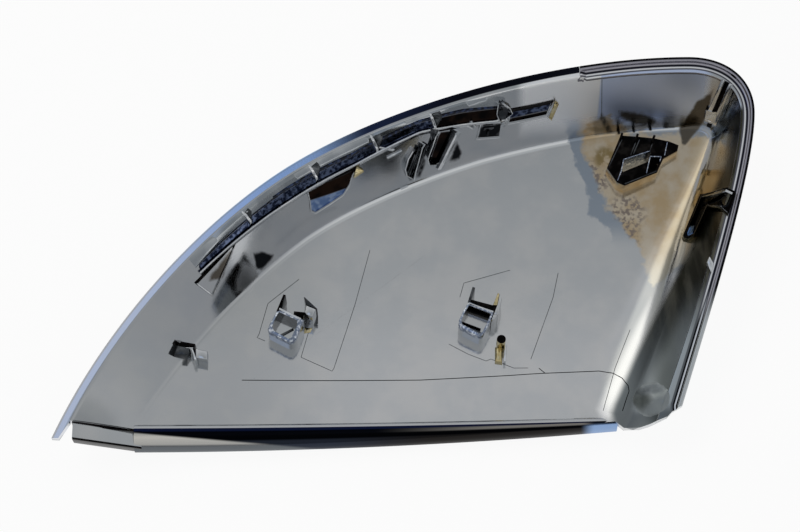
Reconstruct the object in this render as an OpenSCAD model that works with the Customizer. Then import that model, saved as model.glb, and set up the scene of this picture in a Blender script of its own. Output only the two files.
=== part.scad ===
// Wing mirror cover, hollow side up. It is one moulded shell: a shallow dished floor, a
// deep wall round three sides that ends in a flat rim, a rolled lower edge, and the ribs,
// pockets and snap clips that hold it on the mirror housing. It lies on its convex face.
// X runs from the narrow tip to the broad end, Y from the rolled edge to the arc, and Z
// from the outer face to the open side.

/* [Overall] */
// Length from the narrow tip to the broad end
cover_length = 232; // [200:1:280]
// Depth from the rolled lower edge to the top of the arc
cover_depth = 129; // [115:1:150]
// Height of the rim at the narrow tip
tip_rim_height = 15; // [14:0.5:18]
// Rise of the rim from the tip to the top of the arc
rim_rise = 20; // [16:0.5:26]
// Thickness of the moulding
wall = 2.6; // [2.2:0.1:3.2]
// Radius of the dished floor along the length
floor_radius_long = 1500; // [1200:50:2500]
// Radius of the dished floor across the depth
floor_radius_cross = 400; // [350:10:600]

/* [Wall and rim] */
// Plan width of the wall at the tip
wall_run_tip = 22.5; // [20:0.5:25]
// Plan width of the wall along the arc
wall_run_arc = 14.5; // [13:0.5:16]
// Plan width of the wall beside the top corner
wall_run_corner = 10; // [9:0.5:12]
// Plan width of the wall at the lower end of the broad side
wall_run_side = 23; // [20:0.5:25]
// Fillet between floor and wall along the arc
fillet_arc = 1.2; // [0.8:0.1:3]
// Fillet between floor and wall along the broad side
fillet_side = 9; // [6:0.5:11]
// Width of the rim face along the arc
rim_face_arc = 2.7; // [2.4:0.1:3.2]
// Width of the rim face along the broad side
rim_face_side = 4; // [3.8:0.1:4.6]
// Width of the outer bead left beside the rim ledge
rim_bead = 1.4; // [1:0.1:1.8]
// Depth of the ledge inside the rim
ledge_depth = 1.6; // [1:0.1:2.4]

/* [Lower edge] */
// Width of the rolled edge where it meets the tip strip
roll_width_tip = 6.2; // [5:0.1:7]
// Width of the rolled edge at the broad end
roll_width_end = 1.8; // [1.5:0.1:3]
// Drop of the rolled edge below the floor
roll_drop = 5; // [3:0.5:6]
// Height that the rolled edge stands proud of the floor
roll_proud = 0.5; // [0.3:0.1:1]
// Width of the dropped strip beside the tip
strip_width = 5.7; // [5:0.1:6.2]
// Step down from the wall to the dropped strip
strip_step = 1.8; // [1.2:0.1:2.2]
// Depth of the lip under the dropped strip
strip_lip = 5; // [4:0.5:6]

/* [Ribs and pockets] */
// Thickness of the thin ribs
rib_thick = 1.1; // [0.8:0.1:1.6]
// Height of the long rib along the arc
long_rib_height = 2.6; // [2:0.2:4]
// Rise of the shelf between the channel and the rim
shelf_rise = 2; // [1:0.2:3]
// Height of the gussets across the channel
gusset_height = 4.2; // [3:0.2:6]
// Height of the pocket walls
pocket_height = 3; // [2:0.2:4]
// Height of the cluster of struts
strut_height = 4; // [3:0.2:5]
// Height of the domed swelling at the lower end of the broad side
end_dome_height = 2; // [1:0.2:3]

/* [Clips] */
// Height of the floor clips above the floor
floor_clip_height = 8; // [6:0.5:10]
// Width of a floor clip
floor_clip_width = 10; // [8:0.5:12]
// Length of a floor clip
floor_clip_length = 12; // [10:0.5:14]
// Wall thickness of the clips
clip_wall = 1.6; // [1.2:0.1:2]
// Height of the corner clip above the floor
corner_clip_height = 6; // [5:0.5:8]
// Height of the fins on the corner clip
corner_fin_rise = 1.5; // [1:0.25:2.5]
// Height of the small clip in the crease near the tip
crease_clip_height = 5.5; // [4:0.5:7]
// Height of the tab in the top corner
corner_tab_height = 6; // [4:0.5:7]
// Height of the tall hook on the broad side
side_hook_height = 7; // [5:0.5:9]
// Height of the small tab below the hook
side_tab_height = 3; // [2:0.5:4]
// Radius of the locating boss
boss_radius = 1.6; // [1.2:0.1:2]

/* [Hidden] */

// Plan size at which the curves and places below are drawn
drawn_size = [232, 129];
stretch = [cover_length / drawn_size.x, cover_depth / drawn_size.y];

// Steps along the three curves of the rim and along the closing line below the trim
arc_steps = 32;
corner_steps = 6;
side_steps = 11;
closing_steps = 4;
// Steps round the fillet between floor and wall
fillet_steps = 3;
// Steps round the rolled edge, and along it
roll_steps = 5;
roll_stations = 14;
// Share of its length by which the rolled edge runs into its neighbours
roll_lap = 0.006;

// Plan curves of the rim, each with two ends and two handles
rim_tip = [-113.7, -64.1];
rim_shoulder = [-42.3, 21.7];
rim_crown = [95.5, 61.6];
rim_corner = [117.2, 43.3];
rim_end = [90.6, -54.8];
shoulder_angle = 34.4;
arc_low = [rim_tip, rim_tip + 38.9 * heading(65.6), rim_shoulder - 32.3 * heading(shoulder_angle),
    rim_shoulder];
arc_high = [rim_shoulder, rim_shoulder + 40.7 * heading(shoulder_angle), rim_crown - [44.5, 0],
    rim_crown];
corner_curve = [rim_crown, rim_crown + [14.1, 0], rim_corner + [0, 10], rim_corner];
side_curve = [rim_corner, rim_corner - [0, 18.7], rim_end - 30.7 * heading(-108), rim_end];
// How far the curves run on below the trim at both ends
run_on = 7;
// Lowest point of the dished floor, and the middle of its facets
dish = [8, 3];

// Trimmed lower edge: its two ends, and the corners of the tip and of the broad end
edge_start = [-87, -61.3];
edge_end = [69.3, -58];
tip_corner = [-111.9, -65.1];
strip_start = [-108.2, -59.4];
end_corner = [[72, -60.6], [77, -60.8], [80.3, -59.9], [86, -57.6], [87.4, -56.1], [91, -54.4]];
// Anything larger than the part
beyond = 200;

// The floor stays this far below the rim where the two would meet
least_depth = 3;
// Share of the wall thickness by which its underside turns outside the crease
underside_lead = 0.4;
// Share of the wall's height that its fillet may take up
fillet_limit = 0.45;
// Share of its height by which the wall of the cavity runs on past the rim
past_rim = 0.04;
// Extra radius of the fillet on the outer face
outer_soft = 2.4;
// How far the sections of the lower edge reach into the shell, above and below
root_lap = 1.5;
under_lap = 0.4;
// Share of the broad side's fillet that the top corner has
corner_fillet = 0.33;
// Two rings of points across the floor, as shares of the way out from its middle
floor_rings = [0.3, 0.6];

function heading(a) = [cos(a), sin(a)];
function mix(a, b, t) = a + (b - a) * t;
function cubic(c, t) = pow(1 - t, 3) * c[0] + 3 * pow(1 - t, 2) * t * c[1]
    + 3 * (1 - t) * t * t * c[2] + pow(t, 3) * c[3];
function slope(c, t) = 3 * pow(1 - t, 2) * (c[1] - c[0]) + 6 * (1 - t) * t * (c[2] - c[1])
    + 3 * t * t * (c[3] - c[2]);
function inward(d) = [d.y, -d.x] / norm(d);
function quad(a, b, c, t) = pow(1 - t, 2) * a + 2 * (1 - t) * t * b + t * t * c;
function plan(p) = [p.x * stretch.x, p.y * stretch.y];

// Height of the rim plane and of the inner floor at a plan point
function rim_height(p) = tip_rim_height + rim_rise * (p.y / cover_depth + 0.5);
function floor_height(p) = wall + pow(p.x - plan(dish).x, 2) / (2 * floor_radius_long)
    + pow(p.y - plan(dish).y, 2) / (2 * floor_radius_cross);

// Place and direction at a share of the arc, which is two curves end to end
function arc(t) = t < 0.5 ? cubic(arc_low, 2 * t) : cubic(arc_high, 2 * t - 1);
function arc_slope(t) = t < 0.5 ? slope(arc_low, 2 * t) : slope(arc_high, 2 * t - 1);
function arc_run(t) = t < 0.5 ? mix(wall_run_tip, wall_run_arc + 2, 2 * t)
    : mix(wall_run_arc + 2, wall_run_arc, min(1, 4 * t - 2));

// A station of the wall: place on the rim, inward direction, wall run, fillet, rim face
function station(place, direction, run, fillet, face) =
    [plan(place), inward(direction), run, fillet, face];
arc_stations = [for (i = [0:arc_steps]) let (t = i / arc_steps)
    station(arc(t), arc_slope(t), arc_run(t), fillet_arc,
        mix(rim_face_arc, rim_face_side, pow(t, 3)))];
corner_stations = [for (i = [1:corner_steps]) let (t = i / corner_steps)
    station(cubic(corner_curve, t), slope(corner_curve, t), mix(wall_run_arc, wall_run_corner, t),
        mix(fillet_arc, fillet_side * corner_fillet, t), rim_face_side)];
side_stations = [for (i = [1:side_steps]) let (t = i / side_steps)
    station(cubic(side_curve, t), slope(side_curve, t), mix(wall_run_corner, wall_run_side, t),
        mix(fillet_side * corner_fillet, fillet_side, min(1, 2 * t)), rim_face_side)];
rim_stations = concat(arc_stations, corner_stations, side_stations);
function run_past(s, d) = [s[0] + d, s[1], s[2], s[3], s[4]];
first = rim_stations[0];
last = rim_stations[len(rim_stations) - 1];
run_in = run_past(first, -run_on * [-first[1].y, first[1].x]);
run_out = run_past(last, run_on * [-last[1].y, last[1].x]);
// The closing line lies wholly below the trim
closing_stations = [for (i = [0:closing_steps]) let (t = i / closing_steps)
    [plan([mix(62, -96, t), -84]), [0, 1], 4, 1, 1]];
stations = concat([run_in], rim_stations, [run_out], closing_stations);

// Crease between wall and floor at a station
function crease(s) = s[0] + s[1] * s[2];
function on_floor(p, drop) =
    [p.x, p.y, min(floor_height(p), rim_height(p) - least_depth) - drop];
function on_rim(p) = [p.x, p.y, rim_height(p)];

// Points of a surface at a station: from the rim, over a step, down through the fillet
// to the floor. The step is the rim's outer edge, or the cavity's open top.
function wall_points(s, inset, thick, soft, step) =
    let (
        rim = on_rim(s[0] + s[1] * inset),
        foot = on_floor(crease(s) - s[1] * thick * underside_lead, thick),
        top = step > 0 ? mix(foot, rim, 1 + past_rim) : rim - [0, 0, thick * edge_share(s)],
        up = top - foot,
        soft_wall = foot + up * min(fillet_limit, soft / norm(up)),
        soft_floor = on_floor(crease(s) + s[1] * soft, thick),
        belly = mix(soft_wall, top, 0.5) - [0, 0, belly_sag(soft)]
    )
    concat(
        [rim + [0, 0, step], top, belly],
        [for (i = [0:fillet_steps]) quad(soft_wall, foot, soft_floor, i / fillet_steps)]
    );

// The wall bellies out a little above a large fillet
function belly_sag(soft) = min(soft, 5) / 6;

// Share of the wall thickness that the rim's outer edge shows: all of it on a flat wall
function edge_share(s) =
    let (rise = rim_height(s[0]) - floor_height(crease(s)))
    s[2] * s[2] / (s[2] * s[2] + rise * rise);

// A closed block under a lid: rings of points from the rim down to the floor's middle
module block(columns, thick) {
    count = len(columns);
    rows = len(columns[0]);
    middle = on_floor(plan(dish), thick);
    inner = [for (k = [len(floor_rings) - 1:-1:0]) [for (c = columns)
        let (p = mix(middle, c[rows - 1], floor_rings[k])) on_floor([p.x, p.y], thick)]];
    rings = concat([for (r = [0:rows - 1]) [for (c = columns) c[r]]], inner);
    points = concat([for (r = rings) each r], [middle]);
    hub = len(points) - 1;
    bands = [for (r = [0:len(rings) - 2], i = [0:count - 1]) let (j = (i + 1) % count)
        each [[r * count + i, (r + 1) * count + i, r * count + j],
              [r * count + j, (r + 1) * count + i, (r + 1) * count + j]]];
    base = (len(rings) - 1) * count;
    fan = [for (i = [0:count - 1]) [base + i, hub, base + (i + 1) % count]];
    polyhedron(points, concat([[for (i = [0:count - 1]) i]], bands, fan), convexity = 8);
}

module outer_block() {
    block([for (s = stations) wall_points(s, 0, wall, s[3] + outer_soft, 0)], wall);
}

module cavity() {
    block([for (s = stations) wall_points(s, s[4], 0, s[3], rim_rise)], 0);
}

// A raised feature that follows the moulding, from its plan outline: it reaches down
// through the shell, and the cavity lifted by its height cuts its top
module raised(height) {
    difference() {
        linear_extrude(beyond) children();
        translate([0, 0, height]) cavity();
    }
}

// A straight bar in plan between two places, with round ends
module bar(a, b, thick = rib_thick) {
    strut(plan(a), plan(b), thick);
}
module strut(a, b, thick) {
    along = b - a;
    hull() {
        for (p = [a, b])
            translate(p) rotate(atan2(along.y, along.x)) circle(d = thick, $fn = 8);
    }
}

// A ribbon in plan beside the rim's arc, between two distances from the rim
function beside_arc(t, d) = plan(arc(t)) + inward(arc_slope(t)) * d;
module arc_ribbon(from, to, near, far, steps = 18) {
    polygon(concat(
        [for (i = [0:steps]) let (t = mix(from, to, i / steps)) beside_arc(t, near(i / steps))],
        [for (i = [steps:-1:0]) let (t = mix(from, to, i / steps)) beside_arc(t, far(i / steps))]
    ));
}

// Share of the arc at which the rim's ledge starts
ledge_from = 0.872;
// Channel along the arc: it starts and stops at these shares of the arc
channel_from = 0.31;
channel_to = 0.785;
channel_lower = function (f) mix(8, 7.4, f);
channel_upper = function (f) mix(4.8, 4.4, f);
// Gussets across the channel, at these shares of the arc
gusset_shares = [0.43, 0.555, 0.632, 0.704, 0.783];

module long_rib() {
    raised(long_rib_height)
        arc_ribbon(channel_from, channel_to, channel_lower, function (f) channel_lower(f) + rib_thick);
}

module shelf() {
    raised(shelf_rise)
        arc_ribbon(channel_from, channel_to, function (f) rim_face_arc / 2, channel_upper);
}

module gussets() {
    raised(gusset_height)
        for (t = gusset_shares) {
            f = (t - channel_from) / (channel_to - channel_from);
            strut(beside_arc(t, channel_lower(f) + rib_thick / 4), beside_arc(t, channel_upper(f)),
                rib_thick);
        }
}

// A pocket: thin walls round an outline
module pocket(corners, height = pocket_height) {
    raised(height)
        difference() {
            polygon([for (p = corners) plan(p)]);
            offset(delta = -rib_thick) polygon([for (p = corners) plan(p)]);
        }
}

module pockets() {
    pocket([[-69, -12.8], [-55.5, 1.5], [-63.5, -15.2]]);
    pocket([[-32.6, 19.4], [-15.8, 27.6], [-18, 23], [-20.5, 20.2], [-29.9, 13.8], [-32, 14.2]]);
    pocket([[24.6, 43.8], [33.6, 45], [33.8, 40.5], [24.9, 39.6]]);
    pocket([[35.8, 47.6], [51, 50.6], [49.2, 46.2], [34.8, 43.6]]);
}

// Struts in the shape of a V with a hooked bracket, between two pockets of the arc
module strut_cluster() {
    raised(strut_height) {
        bar([7.1, 36.8], [3, 28.2]);
        bar([0.4, 32.4], [2.6, 29.1]);
        bar([19.2, 41.6], [13.1, 32.3]);
        bar([8.8, 35.4], [9.5, 31.9]);
        bar([9.5, 31.1], [12.6, 31.6]);
    }
    raised(strut_height / 2) bar([1.5, 27.1], [-0.9, 26]);
}

// Turns and places a clip that is drawn about its own middle
module placed(at, angle) {
    translate(plan(at)) rotate(angle) children();
}

// Flat-topped solid that stands on the floor, from its plan outline
module standing(at, height) {
    linear_extrude(floor_height(plan(at)) + height) children();
}

module frame_2d(size, thick) {
    difference() {
        square(size, center = true);
        square(size - 2 * [thick, thick], center = true);
    }
}

// Floor clip: an open loop with two fins at its upper end and a low step inside
module floor_clip(at, angle, fin_lead) {
    half = [floor_clip_width, floor_clip_length] / 2;
    standing(at, floor_clip_height)
        placed(at, angle) {
            frame_2d([floor_clip_width, floor_clip_length], clip_wall);
            for (side = [-1, 1])
                translate([side * (half.x - clip_wall / 2) - clip_wall / 2, half.y - clip_wall])
                    square([clip_wall, fin_lead]);
            translate([-half.x, half.y * 0.3]) square([floor_clip_width, clip_wall]);
        }
    standing(at, floor_clip_height * 0.6)
        placed(at, angle)
            translate([-half.x, half.y * 0.3]) square([floor_clip_width, half.y * 0.7]);
}

module locating_boss(at) {
    foot = [4.4, 5];
    standing(at, floor_clip_height * 0.9)
        translate(plan(at)) circle(boss_radius, $fn = 24);
    standing(at, floor_clip_height * 0.5)
        placed(at, 0)
            translate([-foot.x / 2, -boss_radius - foot.y]) square(foot);
}

// Small clip in the crease near the tip
module crease_clip() {
    at = [-70.6, -35];
    angle = -25;
    size = [8, 5.5];
    standing(at, crease_clip_height)
        placed(at, angle) {
            square([size.x, clip_wall], center = true);
            for (x = [-1, 0, 1] * size.x / 2)
                translate([x - clip_wall / 2, -size.y]) square([clip_wall, size.y]);
        }
    standing(at, crease_clip_height * 0.55)
        placed(at, angle) translate([-size.x / 2, -size.y]) square([size.x / 2, size.y]);
}

// Corner clip: a solid block with a slot, a box and fins, in the crease of the top corner
module corner_clip() {
    at = [78, 36];
    standing(at, corner_clip_height)
        difference() {
            polygon([for (p = [[72.8, 43.6], [69, 30.9], [71.2, 27.3], [74.6, 25], [86.2, 28.5],
                [88.4, 34.1], [93.5, 36.9], [94.3, 40.6], [85.5, 43]]) plan(p)]);
            polygon([for (p = [[74.4, 29.4], [75.4, 33.6], [83.4, 36.4], [82.2, 32]]) plan(p)]);
            polygon([for (p = [[84.4, 34.9], [87.2, 33.8], [85.7, 29.7], [83.2, 30]]) plan(p)]);
        }
    standing(at, corner_clip_height + corner_fin_rise) {
        bar([75.8, 42.6], [74.2, 37]);
        bar([79, 42.4], [77.4, 37]);
        bar([85.2, 41.8], [83.8, 37.4]);
    }
}

// Tab of two upright bars on the wall of the top corner
module corner_tab() {
    raised(corner_tab_height) {
        bar([106.8, 54], [103.2, 47.4], clip_wall);
        bar([109.8, 52], [106, 45.6], clip_wall);
    }
    raised(corner_tab_height / 2) bar([108, 52.6], [104.6, 46.6], 2 * clip_wall);
}

// Hooked rib on the wall of the broad side
module side_hook() {
    raised(side_hook_height) {
        bar([110.4, 17], [99.2, 21.2], clip_wall);
        bar([99.2, 21.2], [95, 6.6], clip_wall);
        bar([107.4, 9], [101.7, 12.8], rib_thick);
        bar([101.5, 12.1], [97.9, 5.4], rib_thick);
        bar([95.2, 6], [97.6, 5.2], clip_wall);
    }
    raised(side_hook_height * 0.57) bar([98, 12.2], [99.8, 17.2], 2.2 * clip_wall);
}

module side_tab() {
    raised(side_tab_height) bar([101.3, -7.2], [100.5, -10.2], 2 * clip_wall);
}

// Domed swelling at the lower end of the broad side, in steps that follow the wall
end_dome_at = [81, -51.4];
end_dome_radius = 6.1;
end_dome_shares = [0.96, 0.8, 0.6, 0.35];
module end_dome() {
    for (share = end_dome_shares)
        raised(end_dome_height * sqrt(1 - share * share))
            translate(plan(end_dome_at)) circle(end_dome_radius * share, $fn = 24);
}

// Plan outline inside which the main shell is kept
function edge_point(t) = plan(mix(edge_start, edge_end, t));
module main_outline() {
    polygon(concat(
        [[-beyond, beyond], [-beyond, plan(tip_corner).y], plan(tip_corner), plan(strip_start)],
        [edge_point(0), edge_point(1)],
        [for (p = end_corner) plan(p)],
        [[beyond, plan(end_corner[5]).y], [beyond, beyond]]
    ));
}

// Ledge just inside the rim, from the crown of the arc down the broad side
module rim_ledge() {
    start = station(arc(ledge_from), arc_slope(ledge_from), 0, 0, 0);
    path = concat([start], [for (s = rim_stations) if (s[0].x > start[0].x + 1) s], [run_out]);
    line = [for (s = path) s[0] + s[1] * rim_bead];
    inner = [for (i = [len(line) - 1:-1:0]) path[i][0] + path[i][1] * rim_face_side * 2];
    intersection() {
        linear_extrude(beyond) polygon(concat(line, inner));
        translate([0, 0, -ledge_depth]) rim_space();
    }
}

// Everything above the rim plane
module rim_space() {
    far = [[-beyond, -beyond], [beyond, -beyond], [beyond, beyond], [-beyond, beyond]];
    low = [for (p = far) [p.x, p.y, rim_height(p)]];
    high = [for (p = far) [p.x, p.y, beyond]];
    polyhedron(concat(low, high), [[0, 1, 2, 3], [4, 7, 6, 5], [0, 4, 5, 1], [1, 5, 6, 2],
        [2, 6, 7, 3], [3, 7, 4, 0]]);
}

// Lower edge rolled down past the floor, swept from the strip to the broad end
module rolled_edge() {
    sections = [for (i = [0:roll_stations]) let (
        t = mix(-roll_lap, 1 + roll_lap, i / roll_stations),
        p = edge_point(t),
        w = mix(roll_width_tip, roll_width_end, t * abs(t)),
        thick = min(wall, w * 0.7),
        z = floor_height(p) + roll_proud,
        drop = roll_drop + roll_proud
    ) concat(
        [[p.x, p.y + root_lap, z]],
        [for (k = [0:roll_steps]) let (a = 90 * k / roll_steps)
            [p.x, p.y - w * sin(a) + under_lap * cos(a), z - drop * (1 - cos(a))]],
        [for (k = [roll_steps:-1:0]) let (a = 90 * k / roll_steps)
            [p.x, p.y - (w - thick) * sin(a) + under_lap * cos(a),
             z - drop * (1 - cos(a)) - thick * cos(a)]],
        [[p.x, p.y + root_lap, z - thick]]
    )];
    sweep(sections);
}

// Shift that brings the middle of the plan outline to the origin
tip_way = [-first[1].y, first[1].x];
left_end = first[0] - tip_way * (first[0].y - plan(tip_corner).y) / tip_way.y;
centring = [-(left_end.x + plan(rim_corner).x) / 2,
    (roll_width_tip - edge_point(-roll_lap).y - plan(rim_crown).y) / 2];

module sweep(sections) {
    count = len(sections[0]);
    rings = len(sections);
    points = [for (s = sections) each s];
    sides = [for (r = [0:rings - 2], i = [0:count - 1]) let (j = (i + 1) % count)
        each [[r * count + i, (r + 1) * count + i, r * count + j],
              [r * count + j, (r + 1) * count + i, (r + 1) * count + j]]];
    caps = [[for (i = [0:count - 1]) i], [for (i = [count - 1:-1:0]) (rings - 1) * count + i]];
    polyhedron(points, concat(sides, caps), convexity = 6);
}

// Strip beside the tip, stepped down from the wall, with a lip along its free edge
module tip_strip() {
    a = plan(strip_start) + [0.6, 0];
    b = edge_point(0) + [1.5, 0];
    ends = [[a, rim_height(a) - strip_step], [b, floor_height(b) - strip_step]];
    sweep([for (e = ends) let (p = e[0], z = e[1], y = p.y - strip_width) [
        [p.x, p.y + 1, z],
        [p.x, y, z],
        [p.x, y, z - strip_lip],
        [p.x, y + clip_wall, z - strip_lip],
        [p.x, y + clip_wall, z - wall],
        [p.x, p.y + 1, z - wall]
    ]]);
}

module features() {
    long_rib();
    shelf();
    gussets();
    pockets();
    strut_cluster();
    floor_clip([-39.9, -26.9], -28.7, 6);
    floor_clip([23, -25.1], -31, 5);
    locating_boss([32.4, -30.2]);
    crease_clip();
    corner_clip();
    corner_tab();
    side_hook();
    side_tab();
    end_dome();
}

module cover() {
    color("silver") translate([centring.x, centring.y, 0]) {
        difference() {
            intersection() {
                difference() {
                    outer_block();
                    difference() {
                        cavity();
                        features();
                    }
                }
                linear_extrude(beyond) main_outline();
            }
            rim_ledge();
        }
        rolled_edge();
        tip_strip();
    }
}

cover();
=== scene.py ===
# Wing mirror cover, seen into its hollow side: a chromed ABS moulding with a dished floor,
# a deep wall that ends in a flat rim, a rolled lower edge, thin ribs, pockets and clips.
# Lengths are worked out in millimetres and turned to metres when a mesh is made.
import math

import bmesh
import bpy
import numpy as np
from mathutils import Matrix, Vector
from mathutils.bvhtree import BVHTree
from mathutils.geometry import tessellate_polygon


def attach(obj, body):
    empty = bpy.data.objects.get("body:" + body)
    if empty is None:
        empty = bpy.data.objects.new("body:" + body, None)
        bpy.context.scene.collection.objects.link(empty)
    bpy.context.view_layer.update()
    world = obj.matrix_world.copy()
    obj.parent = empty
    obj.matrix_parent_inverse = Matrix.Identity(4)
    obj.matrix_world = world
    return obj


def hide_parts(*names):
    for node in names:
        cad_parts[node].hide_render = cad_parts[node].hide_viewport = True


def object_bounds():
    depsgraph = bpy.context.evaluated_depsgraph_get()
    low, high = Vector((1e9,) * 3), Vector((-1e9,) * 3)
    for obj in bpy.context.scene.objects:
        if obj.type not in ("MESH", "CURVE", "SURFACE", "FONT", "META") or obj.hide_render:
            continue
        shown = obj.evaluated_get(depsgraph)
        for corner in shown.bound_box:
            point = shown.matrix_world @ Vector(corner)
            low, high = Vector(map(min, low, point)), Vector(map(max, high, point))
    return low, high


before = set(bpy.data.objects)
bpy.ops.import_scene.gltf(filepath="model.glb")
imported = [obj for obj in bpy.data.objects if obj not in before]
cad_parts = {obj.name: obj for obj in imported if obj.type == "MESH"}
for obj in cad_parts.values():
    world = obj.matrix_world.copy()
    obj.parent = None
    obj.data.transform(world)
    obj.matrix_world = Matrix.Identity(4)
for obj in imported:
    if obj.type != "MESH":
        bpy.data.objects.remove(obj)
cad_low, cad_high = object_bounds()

MM = 0.001

# Sizes of the moulding, mm
cover_depth = 129.0
tip_rim_height = 15.0
rim_rise = 20.0
wall = 2.6
floor_radius_long = 1500.0
floor_radius_cross = 400.0
wall_run_tip, wall_run_arc, wall_run_corner, wall_run_side = 22.5, 14.5, 10.0, 23.0
fillet_arc, fillet_side, corner_fillet = 1.2, 9.0, 0.33
rim_face_arc, rim_face_side, rim_bead, ledge_depth = 2.7, 4.0, 1.4, 1.6
roll_width_tip, roll_width_end, roll_drop, roll_proud = 6.2, 1.8, 5.0, 0.5
strip_width, strip_step, strip_lip = 5.7, 1.8, 5.0
clip_wall = 1.6
least_depth = 3.0
rim_gap = 0.1  # What stands on the shell ends this far below its rim
underside_lead = 0.4
outer_soft = 2.4
run_on = 7.0
dish = np.array([8.0, 3.0])
roll_lap, roll_crest = 0.006, 0.4


def heading(a):
    return np.array([math.cos(math.radians(a)), math.sin(math.radians(a))])


def spot(*values):
    return np.array(values, float)


rim_tip, rim_shoulder = spot(-113.7, -64.1), spot(-42.3, 21.7)
rim_crown, rim_corner, rim_end = spot(95.5, 61.6), spot(117.2, 43.3), spot(90.6, -54.8)
shoulder = heading(34.4)
arc_low = [rim_tip, rim_tip + 38.9 * heading(65.6), rim_shoulder - 32.3 * shoulder, rim_shoulder]
arc_high = [rim_shoulder, rim_shoulder + 40.7 * shoulder, rim_crown - spot(44.5, 0), rim_crown]
corner_curve = [rim_crown, rim_crown + spot(14.1, 0), rim_corner + spot(0, 10), rim_corner]
side_curve = [rim_corner, rim_corner - spot(0, 18.7), rim_end - 30.7 * heading(-108), rim_end]
edge_start, edge_end = spot(-87, -61.3), spot(69.3, -58)
tip_corner, strip_start = spot(-111.9, -65.1), spot(-108.2, -59.4)
end_corner = [(72, -60.6), (77, -60.8), (80.3, -59.9), (86, -57.6), (87.4, -56.1), (91, -54.4)]
ledge_from = 0.872


def mix(a, b, t):
    return a + (b - a) * t


def cubic(c, t):
    return (1 - t) ** 3 * c[0] + 3 * (1 - t) ** 2 * t * c[1] + 3 * (1 - t) * t * t * c[2] + t**3 * c[3]


def slope(c, t):
    return 3 * ((1 - t) ** 2 * (c[1] - c[0]) + 2 * (1 - t) * t * (c[2] - c[1]) + t * t * (c[3] - c[2]))


def inward(d):
    return np.array([d[1], -d[0]]) / np.hypot(*d)


def rim_height(p):
    return tip_rim_height + rim_rise * (p[1] / cover_depth + 0.5)


def floor_height(p):
    return (wall + (p[0] - dish[0]) ** 2 / (2 * floor_radius_long)
            + (p[1] - dish[1]) ** 2 / (2 * floor_radius_cross))


def on_floor(p, drop=0.0):
    return np.array([p[0], p[1], min(floor_height(p), rim_height(p) - least_depth) - drop])


def arc(t):
    return cubic(arc_low, 2 * t) if t < 0.5 else cubic(arc_high, 2 * t - 1)


def arc_slope(t):
    return slope(arc_low, 2 * t) if t < 0.5 else slope(arc_high, 2 * t - 1)


def beside_arc(t, d):
    return arc(t) + inward(arc_slope(t)) * d


def edge_point(t):
    return mix(edge_start, edge_end, t)


# The middle of the plan outline lies at the origin
left_end = rim_tip[0] + (tip_corner[1] - rim_tip[1]) / math.tan(math.radians(65.6))
centring = spot(-(left_end + rim_corner[0]) / 2,
                (roll_width_tip - edge_point(-roll_lap)[1] - rim_crown[1]) / 2)


# Meshes
def placed(x, y, z):
    """A place in the drawn frame, mm, as a place in the part's frame, m."""
    return (x + centring[0]) * MM, (y + centring[1]) * MM, z * MM


def shown(name, mesh):
    obj = bpy.data.objects.new(name, mesh)
    bpy.context.scene.collection.objects.link(obj)
    return obj


def new_object(name, points, faces, smooth_angle=35.0):
    """A mesh object from points in the drawn frame, at the origin."""
    mesh = bpy.data.meshes.new(name)
    mesh.from_pydata([placed(*p) for p in points], [], faces)
    mesh.validate()
    tidy(mesh)
    obj = shown(name, mesh)
    shade(obj, smooth_angle)
    return obj


def prism(outline, low, high):
    """A block for cutting, from an anticlockwise plan outline and two heights."""
    n = len(outline)
    sides = [(i, (i + 1) % n, n + (i + 1) % n, n + i) for i in range(n)]
    return new_object("cutter", [(*p, z) for z in (low, high) for p in outline],
                      [tuple(range(n - 1, -1, -1)), tuple(range(n, 2 * n))] + sides)


def ring_faces(count, rings, closed=False):
    """Quads between neighbouring rings of points."""
    faces = []
    for k in range(rings if closed else rings - 1):
        a, b = k * count, (k + 1) % rings * count
        faces += [(a + i, a + (i + 1) % count, b + (i + 1) % count, b + i) for i in range(count)]
    return faces


def tidy(mesh):
    work = bmesh.new()
    work.from_mesh(mesh)
    bmesh.ops.remove_doubles(work, verts=work.verts, dist=1e-7)
    bmesh.ops.recalc_face_normals(work, faces=work.faces)
    work.to_mesh(mesh)
    work.free()


def shade(obj, angle):
    obj.data.polygons.foreach_set("use_smooth", [True] * len(obj.data.polygons))
    work = bmesh.new()
    work.from_mesh(obj.data)
    limit = math.radians(angle)
    for e in work.edges:
        e.smooth = len(e.link_faces) == 2 and e.calc_face_angle(0) < limit
    work.to_mesh(obj.data)
    work.free()


def applied(obj):
    """The object's evaluated mesh, kept as its own plain mesh."""
    graph = bpy.context.evaluated_depsgraph_get()
    mesh = bpy.data.meshes.new_from_object(obj.evaluated_get(graph))
    obj.modifiers.clear()
    old = obj.data
    obj.data = mesh
    bpy.data.meshes.remove(old)
    return obj


def trim(obj, cutter, operation="INTERSECT"):
    mod = obj.modifiers.new("trim", "BOOLEAN")
    mod.operation = operation
    mod.solver = "MANIFOLD"
    mod.object = cutter
    applied(obj)
    bpy.data.objects.remove(cutter)
    return obj


# The shell
class Station:
    """A place on the rim with the sizes of the wall there."""

    def __init__(self, place, along, run, fillet, face, ledge):
        self.place, self.inward = place, inward(along)
        self.run, self.fillet, self.face, self.ledge = run, fillet, face, ledge

    def past(self, d):
        copy = Station(self.place + d, [1, 0], self.run, self.fillet, self.face, self.ledge)
        copy.inward = self.inward
        return copy


def ledge_at(t):
    """The ledge inside the rim starts within a millimetre or so of its share of the arc."""
    return ledge_depth * min(1.0, max(0.0, (t - ledge_from) / 0.006))


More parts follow.
